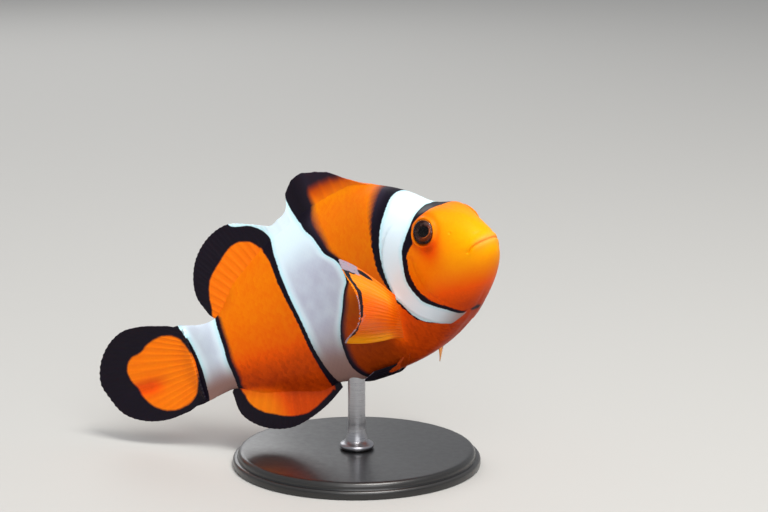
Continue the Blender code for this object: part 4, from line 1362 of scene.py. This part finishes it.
class ClownfishColours(bpy.types.PropertyGroup):
    """Colours of the model."""
    yellow: colour_property("Yellow", "The snout and brow", 253, 170, 0)
    orange: colour_property("Orange", "The sides", 240, 117, 3)
    red_orange: colour_property("Red orange", "The lower sides", 234, 82, 1)
    # Deep orange: the belly's own tone, deepened with painted shade.
    deep_orange_shaded: colour_property("Deep orange", "The belly", 146, 37, 1)
    # Shaded orange: painted shade on the breast behind the pectoral fins and on the pectoral, pelvic and
    # dorsal fins.
    dusky_orange: colour_property("Dusky orange", "The breast behind the pectoral fins", 58, 36, 4)
    black: colour_property("Black", "Edges of the bands and fins", 20, 15, 26)
    faded_black: colour_property("Faded black", "Where the black thins out on the back", 44, 36, 50)
    white: colour_property("White", "The bands", 226, 244, 252)
    edge_white: colour_property("Edge white", "The bands beside the black", 200, 238, 247)
    # Dull white and lavender: the middle band's sides, partly their own pearly tone and partly painted shade.
    dull_white: colour_property("Dull white", "The middle band's sides", 198, 203, 216)
    lavender: colour_property("Lavender", "Shade in the middle band's sides", 182, 181, 200)
    # Shaded white: painted shade on the bands towards the belly.
    shaded_white: colour_property("Shaded white", "The bands towards the belly", 142, 108, 100)
    scale_edge: colour_property("Scale edge", "Free edges of the scales", 235, 225, 215)
    web_shade: colour_property("Web shade", "The web between rays", 190, 150, 120)
    clear_margin: colour_property("Clear margin", "Outer margin of the fins", 154, 140, 154)
    lips: colour_property("Lips", "The lips", 250, 148, 84)
    pupil: colour_property("Pupil", "The pupil", 6, 6, 9)
    iris: colour_property("Iris", "The iris", 150, 60, 22)
    iris_dark: colour_property("Dark iris", "Spokes in the iris", 84, 40, 22)
    # Painted highlight on the lower rim round the pupil.
    iris_rim_highlight: colour_property("Iris rim", "The ring round the pupil", 232, 118, 52)
    eye_rim: colour_property("Eye rim", "The rim of skin round the eye", 228, 132, 30)
    eye_ring: colour_property("Eye ring", "The dark ring round the iris", 46, 26, 24)
    eye_sheen: colour_property("Eye sheen", "Pale flecks in the dark ring", 86, 62, 58)
    lacquer: colour_property("Lacquer", "The base", 14, 14, 15)
    lacquer_pale: colour_property("Pale lacquer", "Grain in the base", 24, 23, 23)
    lacquer_worn: colour_property("Worn lacquer", "Rubbed edges of the base", 60, 58, 56)
    steel: colour_property("Steel", "The rod", 196, 196, 200)
    steel_dark: colour_property("Dark steel", "Brush marks in the rod", 140, 140, 146)
    floor: colour_property("Floor", "The floor", 188, 187, 184)
    sky: colour_property("Sky", "The light all round", 244, 246, 250)


def settings(context):
    """The scene's sizes and colours."""
    return context.scene.clownfish_sizes, context.scene.clownfish_colours


class CLOWNFISH_OT_stage(bpy.types.Operator):
    """Makes the floor, the lights and the camera."""
    bl_idname = "clownfish.stage"
    bl_label = "Stage"

    def execute(self, context):
        sizes, colours = settings(context)
        make_stage(sizes, colours)
        return {"FINISHED"}


class CLOWNFISH_OT_skin(bpy.types.Operator):
    """Makes the skin over the head, trunk and tail stalk."""
    bl_idname = "clownfish.skin"
    bl_label = "Skin"

    def execute(self, context):
        sizes, colours = settings(context)
        make_skin(sizes, colours)
        return {"FINISHED"}


class CLOWNFISH_OT_scales(bpy.types.Operator):
    """Makes the coat of scales."""
    bl_idname = "clownfish.scales"
    bl_label = "Scales"

    def execute(self, context):
        sizes, colours = settings(context)
        make_scales(sizes, colours)
        return {"FINISHED"}


class CLOWNFISH_OT_fins(bpy.types.Operator):
    """Makes the fins: the dorsal, anal and tail fins and the pairs of pectoral and pelvic fins."""
    bl_idname = "clownfish.fins"
    bl_label = "Fins"

    def execute(self, context):
        sizes, colours = settings(context)
        finish = fin_finish(colours)
        make_median_fins(sizes, colours, finish)
        make_pectorals(sizes, colours, finish)
        make_pelvics(sizes, colours, finish)
        return {"FINISHED"}


class CLOWNFISH_OT_eyes(bpy.types.Operator):
    """Makes the two eyeballs and the clear domes over them."""
    bl_idname = "clownfish.eyes"
    bl_label = "Eyes"

    def execute(self, context):
        sizes, colours = settings(context)
        make_eyes(sizes, colours)
        return {"FINISHED"}


class CLOWNFISH_OT_stand(bpy.types.Operator):
    """Makes the base and the rod."""
    bl_idname = "clownfish.stand"
    bl_label = "Stand"

    def execute(self, context):
        sizes, colours = settings(context)
        make_stand(sizes, colours)
        return {"FINISHED"}


class CLOWNFISH_PT_panel(bpy.types.Panel):
    """Lists the steps and the settings."""
    bl_label = "Clownfish"
    bl_space_type = "VIEW_3D"
    bl_region_type = "UI"
    bl_category = "Clownfish"

    def draw(self, context):
        for step in STEPS:
            self.layout.operator(step.bl_idname)
        for group in settings(context):
            box = self.layout.box()
            for name in group.bl_rna.properties.keys():
                if name not in ("rna_type", "name"):
                    box.prop(group, name)


STEPS = (CLOWNFISH_OT_stage, CLOWNFISH_OT_skin, CLOWNFISH_OT_scales, CLOWNFISH_OT_fins, CLOWNFISH_OT_eyes,
         CLOWNFISH_OT_stand)
CLASSES = (ClownfishSizes, ClownfishColours, *STEPS, CLOWNFISH_PT_panel)


def register():
    for listed in CLASSES:
        bpy.utils.register_class(listed)
    bpy.types.Scene.clownfish_sizes = bpy.props.PointerProperty(type=ClownfishSizes)
    bpy.types.Scene.clownfish_colours = bpy.props.PointerProperty(type=ClownfishColours)


def unregister():
    del bpy.types.Scene.clownfish_colours
    del bpy.types.Scene.clownfish_sizes
    for listed in reversed(CLASSES):
        bpy.utils.unregister_class(listed)


def plain(corners):
    """A box's two corners as plain lists."""
    return [[float(x) for x in corner] for corner in corners]


def main():
    """Makes every piece."""
    cad = plain(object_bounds())
    register()
    for step in STEPS:
        getattr(bpy.ops.clownfish, step.bl_idname.split(".")[1])()
    {"cad": cad, "visual": plain(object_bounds())}


if __name__ == "__main__":
    main()
